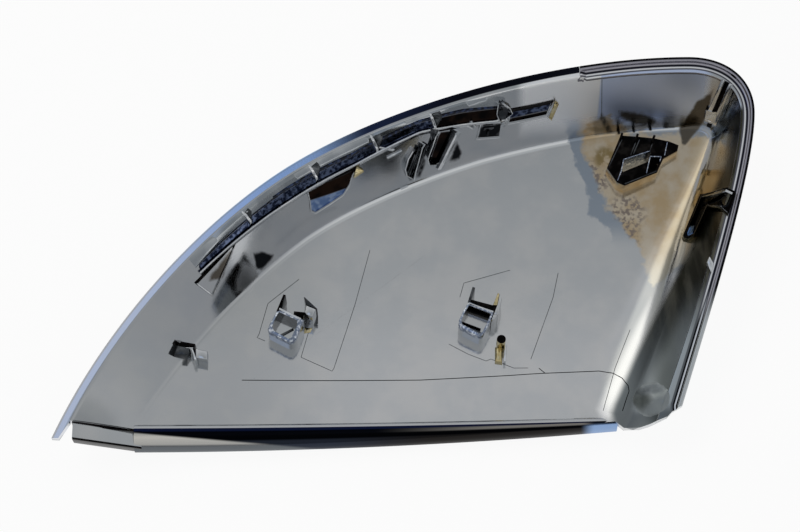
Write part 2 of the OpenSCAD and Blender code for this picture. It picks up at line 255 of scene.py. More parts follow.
def rim_stations():
    def arc_run(t):
        if t < 0.5:
            return mix(wall_run_tip, wall_run_arc + 2, 2 * t)
        return mix(wall_run_arc + 2, wall_run_arc, min(1, 4 * t - 2))

    shares = sorted(set(np.linspace(0, 1, 241))
                    | set(np.linspace(ledge_from - 0.002, ledge_from + 0.009, 12)))
    out = [
        Station(arc(t), arc_slope(t), arc_run(t), fillet_arc, mix(rim_face_arc, rim_face_side, t**3),
                ledge_at(t))
        for t in shares
    ]
    soft = fillet_side * corner_fillet
    for t in np.linspace(0, 1, 49)[1:]:
        out.append(
            Station(
                cubic(corner_curve, t), slope(corner_curve, t), mix(wall_run_arc, wall_run_corner, t),
                mix(fillet_arc, soft, t), rim_face_side, ledge_depth,
            )
        )
    for t in np.linspace(0, 1, 101)[1:]:
        out.append(
            Station(
                cubic(side_curve, t), slope(side_curve, t), mix(wall_run_corner, wall_run_side, t),
                mix(soft, fillet_side, min(1, 2 * t)), rim_face_side, ledge_depth,
            )
        )
    return out


def quad(a, b, c, t):
    return (1 - t) ** 2 * a + 2 * (1 - t) * t * b + t * t * c


def wall_curve(top, crease, soft_floor, soft, count, fillet_count, start=0.0):
    """Points from the top of the wall down its belly, and round the fillet to the floor."""
    up = top - crease
    soft_wall = crease + up * min(0.45, soft / np.linalg.norm(up))
    middle = mix(soft_wall, top, 0.5) - spot(0, 0, min(soft, 5) / 6)
    handle = 2 * middle - (soft_wall + top) / 2
    down = [quad(top, handle, soft_wall, mix(start, 1, i / count)) for i in range(count)]
    return down + [quad(soft_wall, crease, soft_floor, i / fillet_count) for i in range(fillet_count + 1)]


def plan_at(station, d):
    return station.place + station.inward * d


def rim_point(station, d, dz):
    p = plan_at(station, d)
    return np.array([p[0], p[1], rim_height(p) + dz])


def section(s):
    """The closed section of the shell at a station, from the inner floor over the rim to the
    outer floor."""
    crease = on_floor(plan_at(s, s.run))
    top = rim_point(s, s.face, 0)
    soft_floor = on_floor(plan_at(s, s.run + s.fillet))
    depth = top[2] - crease[2]
    start = min(0.3, (s.ledge + 0.12) / depth)
    inner = wall_curve(top, crease, soft_floor, s.fillet, 22, 12, start)
    reach = np.dot(inner[0][:2] - s.place, s.inward)
    q, bead, low = s.ledge / ledge_depth, rim_bead, s.ledge
    share = s.run**2 / (s.run**2 + (rim_height(s.place) - crease[2]) ** 2)
    edge = wall * share
    r = 0.3
    over = [
        (0, -edge), (0, -max(r, edge * 0.6)), (0, -r), (0.09, -0.09), (r, 0), (bead * 0.6, 0),
        (bead - r, 0), (bead - 0.09, -0.09 * q), (bead, -r * q), (bead + 0.03, mix(-r * q, -low, 0.6)),
        (bead + 0.1, -low + 0.1 * q), (bead + r, -low), (mix(bead + r, reach - 0.25, 0.5), -low),
        (reach - 0.25, -low), (reach - 0.08, -low - 0.03),
    ]
    rim = [rim_point(s, d, dz) for d, dz in reversed(over)]
    foot = on_floor(plan_at(s, s.run - wall * underside_lead), wall)
    outer_floor = on_floor(plan_at(s, s.run + s.fillet + outer_soft), wall)
    outer = wall_curve(rim[-1], foot, outer_floor, s.fillet + outer_soft, 12, 8)[1:]
    return list(reversed(inner)) + rim + outer


def build_shell():
    rim = rim_stations()
    first, last = rim[0], rim[-1]

    def ahead(s):
        return spot(-s.inward[1], s.inward[0])

    ring = [first.past(-ahead(first) * d) for d in (run_on, run_on * 0.6, run_on * 0.3)] + rim
    ring += [last.past(ahead(last) * d) for d in (run_on * 0.3, run_on * 0.6, run_on)]
    for t in np.linspace(0, 1, 9):
        s = Station(spot(mix(62, -96, t), -84), [-1, 0], 4, 1, 1, 0)
        s.inward = spot(0, 1)
        ring.append(s)
    columns = [section(s) for s in ring]
    points, count = [], len(columns)
    inner_rings, outer_rings = 56, 14
    for c in columns:
        for k in range(inner_rings - 1, 0, -1):
            points.append(on_floor(mix(dish, c[0][:2], 1 - k / inner_rings)))
        points.extend(c)
        for k in range(1, outer_rings):
            points.append(on_floor(mix(dish, c[-1][:2], 1 - k / outer_rings), wall))
    high = len(points) // count
    hub_in, hub_out = len(points), len(points) + 1
    points += [on_floor(dish), on_floor(dish, wall)]
    faces = []
    for i in range(count):
        j = (i + 1) % count
        a, b = i * high, j * high
        faces += [(a + k, b + k, b + k + 1, a + k + 1) for k in range(high - 1)]
        faces += [(hub_in, b, a), (hub_out, a + high - 1, b + high - 1)]
    shell = new_object("moulded_shell", points, faces, 40)
    far = 200
    outline = [(-far, far), (-far, tip_corner[1]), tip_corner, strip_start, edge_start, edge_end]
    outline += end_corner + [(far, end_corner[-1][1]), (far, far)]
    trim(shell, prism(outline, -60, 120))
    shade(shell, 40)
    return shell


shell = build_shell()


def surface_finder(obj):
    mesh = obj.data
    tree = BVHTree.FromPolygons([v.co for v in mesh.vertices], [p.vertices for p in mesh.polygons])

    def height(x, y):
        hit = tree.ray_cast(Vector(placed(x, y, 200)), Vector((0, 0, -1)))[0]
        return hit.z / MM if hit else floor_height((x, y))

    return height


height_at = surface_finder(shell)


# Swept and standing pieces
def sweep_mesh(name, sections, angle=35):
    count = len(sections[0])
    points = [p for s in sections for p in s]
    faces = []
    for r in range(len(sections) - 1):
        for i in range(count):
            j = (i + 1) % count
            faces.append((r * count + i, (r + 1) * count + i, (r + 1) * count + j, r * count + j))
    faces.append(tuple(range(count)))
    faces.append(tuple((len(sections) - 1) * count + i for i in range(count - 1, -1, -1)))
    return new_object(name, points, faces, angle)


def rolled_edge():
    sections = []
    for t in np.linspace(-roll_lap, 1 + roll_lap, 140):
        p = edge_point(t)
        w = mix(roll_width_tip, roll_width_end, t * abs(t))
        thick = min(wall, w * 0.7)
        floor = floor_height(p)
        z = floor + roll_proud
        drop = roll_drop + roll_proud
        line = [(p[0], p[1] + 1.9, floor_height(p + spot(0, 1.9)) - 0.08), (p[0], p[1] + 1.5, floor + 0.12),
                (p[0], p[1] + 1.0, floor + 0.36)]
        for a in np.radians(np.linspace(0, 90, 16)):
            line.append((p[0], p[1] - w * math.sin(a) + roll_crest * math.cos(a),
                         z - drop * (1 - math.cos(a))))
        for a in np.radians(np.linspace(90, 0, 9)):
            line.append((p[0], p[1] - (w - thick) * math.sin(a) + roll_crest * math.cos(a),
                         z - drop * (1 - math.cos(a)) - thick * math.cos(a)))
        line.append((p[0], p[1] + 1.3, z - thick))
        sections.append(line)
    return sweep_mesh("rolled_lower_edge", sections, 50)


def tip_strip():
    a, b = strip_start + spot(0.6, 0), edge_point(0) + spot(1.5, 0)
    ends = (rim_height(a) - strip_step, floor_height(b) - strip_step)
    sections = []
    for f in np.linspace(0, 1, 12):
        p, z = mix(a, b, f), mix(ends[0], ends[1], f)
        y, r = p[1] - strip_width, 0.6
        line = [(p[0], p[1] + 1, z)]
        line += [(p[0], y + r * (1 - math.sin(k)), z - r * (1 - math.cos(k)))
                 for k in np.radians(np.linspace(0, 90, 6))]
        line += [(p[0], y, z - strip_lip), (p[0], y + clip_wall, z - strip_lip),
                 (p[0], y + clip_wall, z - wall), (p[0], p[1] + 1, z - wall)]
        sections.append(line)
    return sweep_mesh("tip_strip", sections, 40)


def offset_outline(points, d):
    """The outline moved to its left by d, mitred at its corners."""
    out, n = [], len(points)
    for i in range(n):
        before, here, after = points[i - 1], points[i], points[(i + 1) % n]
        u, v = here - before, after - here
        u, v = u / np.hypot(*u), v / np.hypot(*v)
        a, b = np.array([-u[1], u[0]]), np.array([-v[1], v[0]])
        m = a + b
        m /= max(0.35, np.dot(m, m) / 2)
        out.append(here + m * d)
    return out


def anticlockwise(points):
    points = [np.array(p, float) for p in points]
    area = sum(a[0] * b[1] - b[0] * a[1] for a, b in zip(points, points[1:] + points[:1]))
    return points if area > 0 else points[::-1]


def along(points, offset, step=1.2):
    """Points about a step apart on the outline, moved inwards by an offset."""
    moved = offset_outline(points, offset)
    out = []
    for i in range(len(points)):
        a, b = points[i], points[(i + 1) % len(points)]
        c, d = moved[i], moved[(i + 1) % len(points)]
        n = max(1, int(math.ceil(np.hypot(*(b - a)) / step)))
        out += [mix(c, d, k / n) for k in range(n)]
    return out


def follows(rise):
    """Height of a top that runs parallel to the moulding below it."""
    return lambda p: min(height_at(*p) + rise, rim_height(p) - rim_gap)


def level(at, rise):
    """Height of a top that is level all over."""
    z = floor_height(at) + rise
    return lambda p: z


corner_share = 0.29  # One minus the cosine of 45 degrees: the middle of a rounded edge


def rounded_block(name, outline, top, sink=1.2, r=0.22, step=1.2, split=None):
    """A block with rounded upper edges, sunk into the moulding. Its sides may be split at a
    height above it, so that their lower part can have another finish."""
    outline = anticlockwise(outline)
    base = along(outline, 0, step)
    rings = [[(*p, height_at(*p) + rise) for p in base] for rise in ((-sink, split) if split else (-sink,))]
    for inset, drop in ((0, r), (corner_share * r, corner_share * r), (r, 0)):
        rings.append([(*p, top(b) - drop) for p, b in zip(along(outline, inset, step), base)])
    faces = ring_faces(len(base), len(rings))
    for k in (len(rings) - 1, 0):
        flat = [Vector((p[0], p[1], 0)) for p in rings[k]]
        faces += [tuple(k * len(base) + i for i in t) for t in tessellate_polygon([flat])]
    return new_object(name, [p for ring in rings for p in ring], faces, 50)


def walled_ring(name, outline, thick, top, sink=1.2, r=0.22, step=1.2):
    """A thin wall round an outline, with rounded upper edges, sunk into the moulding."""
    outline = anticlockwise(outline)
    base = along(outline, 0, step)
    hole = along(outline, thick, step)
    rings = [[(*p, height_at(*p) - sink) for p in base]]
    for inset, drop, ref in ((0, r, base), (corner_share * r, corner_share * r, base), (r, 0, base),
                             (thick - r, 0, hole), (thick - corner_share * r, corner_share * r, hole),
                             (thick, r, hole)):
        rings.append([(*p, top(b) - drop) for p, b in zip(along(outline, inset, step), ref)])
    rings.append([(*p, height_at(*p) - sink) for p in hole])
    return new_object(name, [p for ring in rings for p in ring],
                      ring_faces(len(base), len(rings), closed=True), 50)


def turned(at, angle, places):
    """Places about a middle, turned by an angle in degrees and set at a place in plan."""
    c, s = heading(angle)
    return [np.array([at[0] + c * x - s * y, at[1] + s * x + c * y]) for x, y in places]


# Ribs on paths
def link(tree, kind, settings=(), inputs=()):
    """Adds a node with its settings, and its inputs as values or other nodes' outputs."""
    node = tree.nodes.new(kind)
    for key, value in dict(settings).items():
        setattr(node, key, value)
    for key, value in dict(inputs).items():
        if isinstance(value, bpy.types.NodeSocket):
            tree.links.new(value, node.inputs[key])
        else:
            node.inputs[key].default_value = value
    return node


def rib_tree():
    """Sweeps an upright rib of a given thickness and height along the edges of its input."""
    tree = bpy.data.node_groups.new("ribs on paths", "GeometryNodeTree")
    face = tree.interface
    face.new_socket("Geometry", in_out="INPUT", socket_type="NodeSocketGeometry")
    for name in ("Thickness", "Rise", "Sink", "Edge radius"):
        face.new_socket(name, in_out="INPUT", socket_type="NodeSocketFloat")
    face.new_socket("Material", in_out="INPUT", socket_type="NodeSocketMaterial")
    face.new_socket("Geometry", in_out="OUTPUT", socket_type="NodeSocketGeometry")
    given = link(tree, "NodeGroupInput")
    paths = link(tree, "GeometryNodeMeshToCurve", inputs={"Mesh": given.outputs["Geometry"]})
    upright = link(tree, "GeometryNodeSetCurveNormal", {"mode": "Z_UP"}, {"Curve": paths.outputs[0]})
    tall = link(tree, "ShaderNodeMath", {"operation": "ADD"},
                {0: given.outputs["Rise"], 1: given.outputs["Sink"]})
    outline = link(tree, "GeometryNodeCurvePrimitiveQuadrilateral", {"mode": "RECTANGLE"},
                   {"Width": given.outputs["Thickness"], "Height": tall.outputs[0]})
    rounded = link(tree, "GeometryNodeFilletCurve", {"mode": "POLY"},
                   {"Curve": outline.outputs[0], "Count": 3, "Radius": given.outputs["Edge radius"],
                    "Limit Radius": True})
    middle = link(tree, "ShaderNodeMath", {"operation": "SUBTRACT"},
                  {0: given.outputs["Rise"], 1: given.outputs["Sink"]})
    half = link(tree, "ShaderNodeMath", {"operation": "MULTIPLY"}, {0: middle.outputs[0], 1: -0.5})
    shift = link(tree, "ShaderNodeCombineXYZ", inputs={"Y": half.outputs[0]})
    seated = link(tree, "GeometryNodeTransform",
                  inputs={"Geometry": rounded.outputs[0], "Translation": shift.outputs[0]})
    swept = link(tree, "GeometryNodeCurveToMesh",
                 inputs={"Curve": upright.outputs[0], "Profile Curve": seated.outputs[0], "Fill Caps": True})
    plain = link(tree, "GeometryNodeRealizeInstances", inputs={"Geometry": swept.outputs[0]})
    dressed = link(tree, "GeometryNodeSetMaterial",
                   inputs={"Geometry": plain.outputs[0], "Material": given.outputs["Material"]})
    link(tree, "NodeGroupOutput", inputs={"Geometry": dressed.outputs[0]})
    return tree


on_paths = rib_tree()


def ribs(name, paths, rise, thick=0.45, sink=1.3, radius=0.25):
    """Ribs that stand on the moulding along plan paths."""
    points, edges = [], []
    for path in paths:
        base = len(points)
        points += [placed(*p, min(height_at(*p), rim_height(p) - rim_gap - rise)) for p in path]
        edges += [(base + i, base + i + 1) for i in range(len(path) - 1)]
    mesh = bpy.data.meshes.new(name)
    mesh.from_pydata(points, edges, [])
    obj = shown(name, mesh)
    mod = obj.modifiers.new("ribs", "NODES")
    mod.node_group = on_paths
    values = {"Thickness": thick * MM, "Rise": rise * MM, "Sink": sink * MM, "Edge radius": radius * MM,
              "Material": chrome}
    for item in on_paths.interface.items_tree:
        if item.item_type == "SOCKET" and item.in_out == "INPUT" and item.name in values:
            mod[item.identifier] = values[item.name]
    applied(obj)
    tidy(obj.data)
    shade(obj, 50)
    return obj


def straight(a, b, step=1.0):
    a, b = np.array(a, float), np.array(b, float)
    n = max(2, int(np.hypot(*(b - a)) / step))
    return [mix(a, b, i / n) for i in range(n + 1)]


def smoothly(path):
    """A path with points about every millimetre."""
    out = []
    for a, b in zip(path, path[1:]):
        out += straight(a, b)[:-1]
    return out + [np.array(path[-1], float)]


# Places of the finish on the shell
def places_of(obj):
    """The vertices' places in the drawn frame, mm."""
    return np.array([v.co[:] for v in obj.data.vertices]) / MM - spot(*centring, 0)


def mark(obj, name, values):
    """Keeps a number for each vertex."""
    layer = obj.data.attributes.new(name, "FLOAT", "POINT")
    layer.data.foreach_set("value", values.astype(np.float32))


def near_line(points, line):
    """Distance from a plan line, mm."""
    best = np.full(len(points), 1e6)
    for a, b in zip(line, line[1:]):
        a, run = np.array(a, float), np.subtract(b, a)
        t = np.clip(((points[:, :2] - a) @ run) / (run @ run), 0, 1)
        best = np.minimum(best, np.linalg.norm(points[:, :2] - a - t[:, None] * run, axis=1))
    return best


def inside_by(points, outline):
    """How far each point lies inside an outline in plan, mm, and below nought outside it."""
    inside = np.zeros(len(points), bool)
    x, y = points[:, 0], points[:, 1]
    for a, b in zip(outline, outline[1:] + outline[:1]):
        if b[1] != a[1]:
            inside ^= ((y >= a[1]) != (y >= b[1])) & (x < a[0] + (y - a[1]) * (b[0] - a[0]) / (b[1] - a[1]))
    nearest = near_line(points, outline + outline[:1])
    return np.where(inside, nearest, -nearest)


# Materials
def linear(code):
    """An sRGB hex colour as linear RGBA."""
    parts = [int(code[i:i + 2], 16) / 255 for i in (1, 3, 5)]
    return tuple(c / 12.92 if c <= 0.04045 else ((c + 0.055) / 1.055) ** 2.4 for c in parts) + (1.0,)


def coat(tree, under, over, value, start, full):
    """One finish laid over another, where a value runs from start to full. A finish is a hex
    colour or a node's output."""
    share = link(tree, "ShaderNodeMapRange", {"interpolation_type": "SMOOTHSTEP"},
                 {"Value": value, "From Min": start, "From Max": full})
    under, over = (linear(c) if isinstance(c, str) else c for c in (under, over))
    return link(tree, "ShaderNodeMix", {"data_type": "RGBA"},
                {0: share.outputs[0], 6: under, 7: over}).outputs[2]


def plated(name, roughness, haze, relief=0.08):
    """Metal plate on moulded ABS, before its colour: it mirrors its surroundings a little
    softly, because the moulding under it isn't polished, with flow marks and a fine grain."""
    mat = bpy.data.materials.new(name)
    mat.use_nodes = True
    tree = mat.node_tree
    surface = tree.nodes["Principled BSDF"]
    surface.inputs["Metallic"].default_value = 1.0
    place = link(tree, "ShaderNodeTexCoord").outputs["Object"]
    # Flow marks about 12 mm long, and grain of about 0.5 mm
    flow = link(tree, "ShaderNodeTexNoise",
                inputs={"Vector": place, "Scale": 80.0, "Detail": 3.0}).outputs["Fac"]
    grain = link(tree, "ShaderNodeTexNoise",
                 inputs={"Vector": place, "Scale": 2000.0, "Detail": 2.0}).outputs["Fac"]
    soft = link(tree, "ShaderNodeMapRange", inputs={
        "Value": flow, "From Min": 0.3, "From Max": 0.7, "To Min": roughness - haze,
        "To Max": roughness + haze})
    tree.links.new(soft.outputs[0], surface.inputs["Roughness"])
    mixed = link(tree, "ShaderNodeMath", {"operation": "MULTIPLY_ADD"}, {0: grain, 1: 0.25, 2: flow})
    bump = link(tree, "ShaderNodeBump",
                inputs={"Height": mixed.outputs[0], "Strength": relief, "Distance": 0.0004})
    tree.links.new(bump.outputs[0], surface.inputs["Normal"])
    return mat, tree, place, flow


def finished(mat, tree, colour):
    tree.links.new(colour, tree.nodes["Principled BSDF"].inputs["Base Color"])
    return mat


def bright_plate():
    """Bright chromium over nickel: a neutral mirror with a trace of grey."""
    mat, tree, place, flow = plated("bright chrome plate on ABS", 0.11, 0.03)
    return finished(mat, tree, coat(tree, "#C2C5C8", "#CBCCCD", flow, 0.35, 0.7))


def painted_light_plate(name, deep, glint, patch_size, roughness=0.16):
    """Chrome plate with painted light: its colour is the painted shade, reflection or highlight that the
    chrome shows in that place, with brighter patches of the given size, mm."""
    mat, tree, place, flow = plated(name, roughness, 0.04)
    patches = link(tree, "ShaderNodeTexNoise",
                   inputs={"Vector": place, "Scale": 1000 / patch_size, "Detail": 3.0})
    return finished(mat, tree, coat(tree, deep, glint, patches.outputs["Fac"], 0.45, 0.68))


# Bands across the stepped rim, painted shade lines and painted highlights: share of their width from its
# outer edge, and colour
band_width = 4.4
upper_bands = [(0.0, "#0C0C0F"), (0.17, "#0C0C0F"), (0.22, "#A7A5AE"), (0.42, "#B7B5BD"), (0.46, "#1E1E26"),
               (0.60, "#2E2E38"), (0.64, "#F2F2F4"), (0.72, "#F2F2F4"), (0.76, "#55555E"), (1.0, "#8A8A90")]
lower_bands = [(0.0, "#C9CDCF"), (0.34, "#C9CDCF"), (0.37, "#101012"), (0.45, "#101012"), (0.48, "#E4E6E8"),
               (0.56, "#E4E6E8"), (0.59, "#101012"), (0.68, "#15151A"), (0.74, "#6C7074"), (1.0, "#6C7074")]


def shell_plate():
    """The shell's bright plate, with painted light. In the deep top corner a painted tan reflection
    shows with a blue-grey border and small grey mottles. Hollows by the ribs have painted shade, and
    the step of the rim is lined with painted dark and pale bands: painted shade and highlights."""
    mat, tree, place, flow = plated("bright chrome plate with painted reflections", 0.11, 0.03)
    kept = {name: link(tree, "ShaderNodeAttribute", {"attribute_name": name}).outputs["Fac"]
            for name in ("tan_reflection", "cream", "side", "navy", "dark", "shade", "rim", "lip", "grey_reflection",
                         "blue", "crease", "high_wall", "glare", "fillet")}
    # The walls of the top corner, of the broad side and by the first pocket aren't polished, and
    # mirror softly
    rough = tree.nodes["Principled BSDF"].inputs["Roughness"]
    matt, matt_step = rough.links[0].from_socket, 0.22
    for name, full in (("high_wall", 2.5), ("side", 4.0), ("glare", 1.5)):
        share = link(tree, "ShaderNodeMapRange",
                     inputs={"Value": kept[name], "From Min": 0.0, "From Max": full})
        matt = link(tree, "ShaderNodeMath", {"operation": "MULTIPLY_ADD"},
                    {0: share.outputs[0], 1: matt_step, 2: matt}).outputs[0]
    tree.links.new(matt, rough)
    # Mottling at four sizes, mm
    fleck = {size: link(tree, "ShaderNodeTexNoise", {"noise_dimensions": "4D"},
                        {"Vector": place, "W": size, "Scale": 1000 / size, "Detail": 4.0}).outputs["Fac"]
             for size in (1.4, 2.2, 7, 16)}
    axes = link(tree, "ShaderNodeSeparateXYZ", inputs={0: place})
    east, high = axes.outputs["X"], axes.outputs["Y"]
    # Painted highlights: the colour is brightest on the crease, white to blue on the wall by the broad end,
    # and white on a patch by the first pocket and along the broad side's fillet
    colour = coat(tree, "#C2C5C8", "#CBCCCD", flow, 0.35, 0.7)
    upper = coat(tree, "#FFFFFF", "#CBD8F4", east, 0.0643, 0.0652)
    colour = coat(tree, colour, upper, kept["high_wall"], -1.5, 2.5)
    colour = coat(tree, colour, "#ECEEEF", kept["crease"], 1.3, 0.4)
    colour = coat(tree, colour, "#FFFFFF", kept["glare"], 0.0, 0.8)
    colour = coat(tree, colour, "#FFFFFF", kept["fillet"], 4.8, 1.2)
    # The colour is a little darker towards the tip
    colour = coat(tree, colour, coat(tree, "#B2B5B8", "#B8BABB", flow, 0.35, 0.7), east, -0.012, -0.062)

    # The painted tan reflection has a blue-grey border, also a painted reflection, which wanders by some
    # millimetres: it lies where this passes 10
    wander = link(tree, "ShaderNodeMath", {"operation": "MULTIPLY_ADD"},
                  {0: fleck[16], 1: 16.0, 2: kept["tan_reflection"]})
    wander = link(tree, "ShaderNodeMath", {"operation": "MULTIPLY_ADD"},
                  {0: fleck[2.2], 1: 4.0, 2: wander.outputs[0]}).outputs[0]
    bordered = coat(tree, colour, "#98A2AE", wander, 5.0, 6.4)
    bordered = coat(tree, bordered, colour, kept["high_wall"], -2.0, 0.5)
    colour = coat(tree, colour, bordered, high, 0.006, 0.018)
    # The painted tan reflection, with a pale cream band along the crease and grey and olive mottles
    tan = coat(tree, "#CABEAB", "#BDA786", fleck[7], 0.36, 0.66)
    tan = coat(tree, tan, "#E0D2B8", kept["cream"], 9.0, 1.0)
    tan = coat(tree, tan, "#E6E1D6", high, 0.014, -0.008)
    grey = coat(tree, tan, "#8C8078", fleck[1.4], 0.46, 0.60)
    olive = coat(tree, tan, "#93805A", fleck[2.2], 0.35, 0.60)
    for x, y, z, reach, spotted in ((76, 17, 5, 8.5, grey), (73.5, 8.5, 4, 9.0, grey),
                                    (65.5, 30, 6, 8.0, grey), (69.5, 37, 6, 5.5, olive)):
        off = link(tree, "ShaderNodeVectorMath", {"operation": "DISTANCE"}, {
            0: place, 1: placed(x, y, z)}).outputs["Value"]
        tan = coat(tree, tan, spotted, off, reach * MM, reach * MM * 0.45)
    colour = coat(tree, colour, tan, wander, 9.4, 11.6)

    # The wall of the broad side has a painted dark reflection, lighter low down, with streaks that run down
    # it
    along_wall = link(tree, "ShaderNodeMapping",
                      inputs={"Vector": place, "Scale": (260.0, 45.0, 45.0), "Rotation": (0, 0, 0.35)})
    streak = link(tree, "ShaderNodeTexNoise",
                  inputs={"Vector": along_wall.outputs[0], "Scale": 1.0, "Detail": 3.0}).outputs["Fac"]
    side_wall_reflection = coat(tree, "#3E3D34", "#716E62", streak, 0.38, 0.62)
    low_wall = coat(tree, "#6E7478", "#B4BBBE", kept["side"], 7.0, 12.0)
    side_wall_reflection = coat(tree, side_wall_reflection, low_wall, high, -0.006, -0.036)
    colour = coat(tree, colour, side_wall_reflection, kept["side"], 0.5, 3.5)

    # Painted shade in the hollows by the ribs: navy in the channel, a painted blue reflection in one, and
    # black-brown elsewhere
    for name, low, peak, size, full, soft in (("navy", "#1B2235", "#66728E", 1.4, 0.62, 0.12),
                                              ("blue", "#6F8AB8", "#9FB4D6", 2.2, 0.62, 0.12),
                                              ("dark", "#0D0B0B", "#2A1D16", 7, 0.6, 0.15)):
        colour = coat(tree, colour, coat(tree, low, peak, fleck[size], 0.42, full), kept[name], -soft, soft)
    # Soft patches of painted shade and painted grey reflections, with borders that the mottling breaks up
    for name, spread, code, start, full in (("shade", 0.8, "#1B1D20", 0.3, 1.2),
                                            ("grey_reflection", 1.0, "#5F5A52", 0.2, 1.1)):
        broken = link(tree, "ShaderNodeMath", {"operation": "MULTIPLY_ADD"},
                      {0: fleck[2.2], 1: spread, 2: kept[name]})
        colour = coat(tree, colour, code, broken.outputs[0], start, full)

    # The plain rim's painted reflection goes from pale lavender at the tip through blue to navy
    rim_blue = coat(tree, "#D4D6DC", "#9DB7DC", east, -0.095, -0.040)
    rim_blue = coat(tree, rim_blue, "#262F4A", east, -0.035, -0.012)
    rim_blue = coat(tree, rim_blue, "#14161F", east, -0.01, 0.02)
    rim_blue = coat(tree, rim_blue, colour, kept["lip"], 2.2, 2.5)
    colour = coat(tree, colour, rim_blue, kept["lip"], -0.5, -0.2)

    # The stepped rim's painted bands of shade and highlight
    across = link(tree, "ShaderNodeMath", {"operation": "DIVIDE"}, {0: kept["rim"], 1: band_width}).outputs[0]
    lined = []
    for bands in (upper_bands, lower_bands):
        ramp = link(tree, "ShaderNodeValToRGB", inputs={"Fac": across})
        for at, code in bands[2:]:
            ramp.color_ramp.elements.new(at)
        for element, (at, code) in zip(ramp.color_ramp.elements, bands):
            element.position, element.color = at, linear(code)
        lined.append(ramp.outputs[0])
    lined = coat(tree, lined[0], lined[1], high, -0.012, -0.026)
    lined = coat(tree, colour, lined, kept["rim"], 3.9, 3.6)
    return finished(mat, tree, coat(tree, colour, lined, kept["rim"], -0.4, -0.2))


def edge_plate():
    """Plate on the rolled lower edge with painted reflections: black except for a pale taper near the tip, a
    grey band towards the broad end, a navy line along its top and a blue patch at its end."""
    mat, tree, place, flow = plated("chrome plate with painted reflections on the rolled edge", 0.14, 0.03)
    x = link(tree, "ShaderNodeSeparateXYZ", inputs={0: place}).outputs["X"]
    turn = link(tree, "ShaderNodeAttribute", {"attribute_name": "turn"}).outputs["Fac"]
    body = coat(tree, "#2C313C", "#232120", x, -0.03, 0.01)
    body = coat(tree, "#050609", body, turn, 0.56, 0.68)
    grey = coat(tree, "#0A0C12", "#8C8882", x, -0.012, 0.035)
    body = coat(tree, grey, body, turn, 0.30, 0.42)
    pale = coat(tree, "#D8D5CE", "#63676B", turn, 0.72, 0.84)
    taper = link(tree, "ShaderNodeMath", {"operation": "MULTIPLY_ADD"}, {0: turn, 1: 0.075, 2: -0.105})
    gap = link(tree, "ShaderNodeMath", {"operation": "SUBTRACT"}, {0: taper.outputs[0], 1: x}).outputs[0]
    body = coat(tree, body, pale, gap, -0.003, 0.005)
    body = coat(tree, "#172040", body, turn, 0.11, 0.19)
    blue = coat(tree, "#141923", "#86A1C8", turn, 0.22, 0.5)
    body = coat(tree, body, blue, x, 0.0565, 0.0615)
    return finished(mat, tree, coat(tree, "#C6C8CA", body, turn, -0.03, 0.01))


chrome = bright_plate()
# Plates with painted light: painted black reflections on the clips, painted navy shade in the channel,
# painted shade on rib sides, painted highlights on rib tops, and painted blue, tan and straw reflections
black = painted_light_plate("painted black reflection on the corner clips", "#0B0A0A", "#1D1B1A", 3.0)
navy = painted_light_plate("painted navy shade in the channel", "#141926", "#4A5A80", 1.4)
shaded = painted_light_plate("shaded plate on rib sides", "#3C3F42", "#5A5D60", 4.0)
shelf_plate = painted_light_plate("plate on the shelf", "#9EA3A7", "#B4B8BB", 9.0, 0.15)
dome_dark_reflection = painted_light_plate("painted darker reflection on the end swelling", "#8B9193", "#A2A8AA", 5.0, 0.3)
silver = painted_light_plate("painted highlight on rib tops", "#D2D5D8", "#F0F1F2", 4.0, 0.2)
blue_grey = painted_light_plate("painted blue-grey reflection on the floor clips", "#7F8A9E", "#E4E9F2", 0.9)
side_wall_reflection = painted_light_plate("painted dark reflection on the broad side", "#6C6A5C", "#8F8B7C", 6.0)
sky = painted_light_plate("painted blue reflection at clip ends", "#5F7FB0", "#7E9CCB", 2.0)
tan_plate = painted_light_plate("painted tan reflection on the corner clip", "#CDBEA2", "#DDD0B6", 4.0)
straw = painted_light_plate("painted straw reflection beside the clips", "#C9B98A", "#D9CDA8", 2.5)


def dress(obj, *materials):
    kept = [face.material_index for face in obj.data.polygons]
    obj.data.materials.clear()
    for m in materials:
        obj.data.materials.append(m)
    obj.data.polygons.foreach_set("material_index", kept)
    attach(obj, "root")
    return obj


def faced(obj, number, test):
    """Gives another of the object's materials to the faces that pass a test on their middle, in
    the drawn frame, mm, and their direction."""
    for face in obj.data.polygons:
        c = face.center
        if test((c.x / MM - centring[0], c.y / MM - centring[1], c.z / MM), face.normal):
            face.material_index = number


# The pieces
channel_from, channel_to = 0.31, 0.785
ended = 0.704  # The channel's painted navy shade ends here, and painted black-brown shade goes on


def channel_at(t):
    """Distances of the channel's lower rib and of the shelf's edge from the rim."""
    shares = (channel_from, 0.5, 0.6, 0.685, 0.735, channel_to)
    return (np.interp(t, shares, (7.3, 7.4, 7.1, 5.9, 7.0, 8.3)),
            np.interp(t, shares, (5.7, 5.2, 5.5, 4.4, 5.0, 6.2)))


def channel_bed(start, end, count):
    """The channel's bed in plan, between the shelf and the lower rib."""
    shares = np.linspace(start, end, count)
    return ([beside_arc(t, channel_at(t)[1]) for t in shares]
            + [beside_arc(t, channel_at(t)[0]) for t in shares[::-1]])


pocket_outlines = {
    "pocket_a": [(-69, -12.8), (-55.5, 1.5), (-63.5, -15.2)],
    "pocket_b": [(-32.6, 19.6), (-16.0, 27.5), (-18.0, 23.4), (-20.3, 20.7), (-29.6, 14.6), (-31.4, 14.6),
                 (-31.6, 16.6)],
    "pocket_d": [(25.9, 43.2), (33.8, 44.8), (32.9, 41.3), (24.7, 39.9)],
    "pocket_e": [(35.9, 46.8), (50.6, 49.9), (48.7, 46.9), (35.3, 44.0)],
}
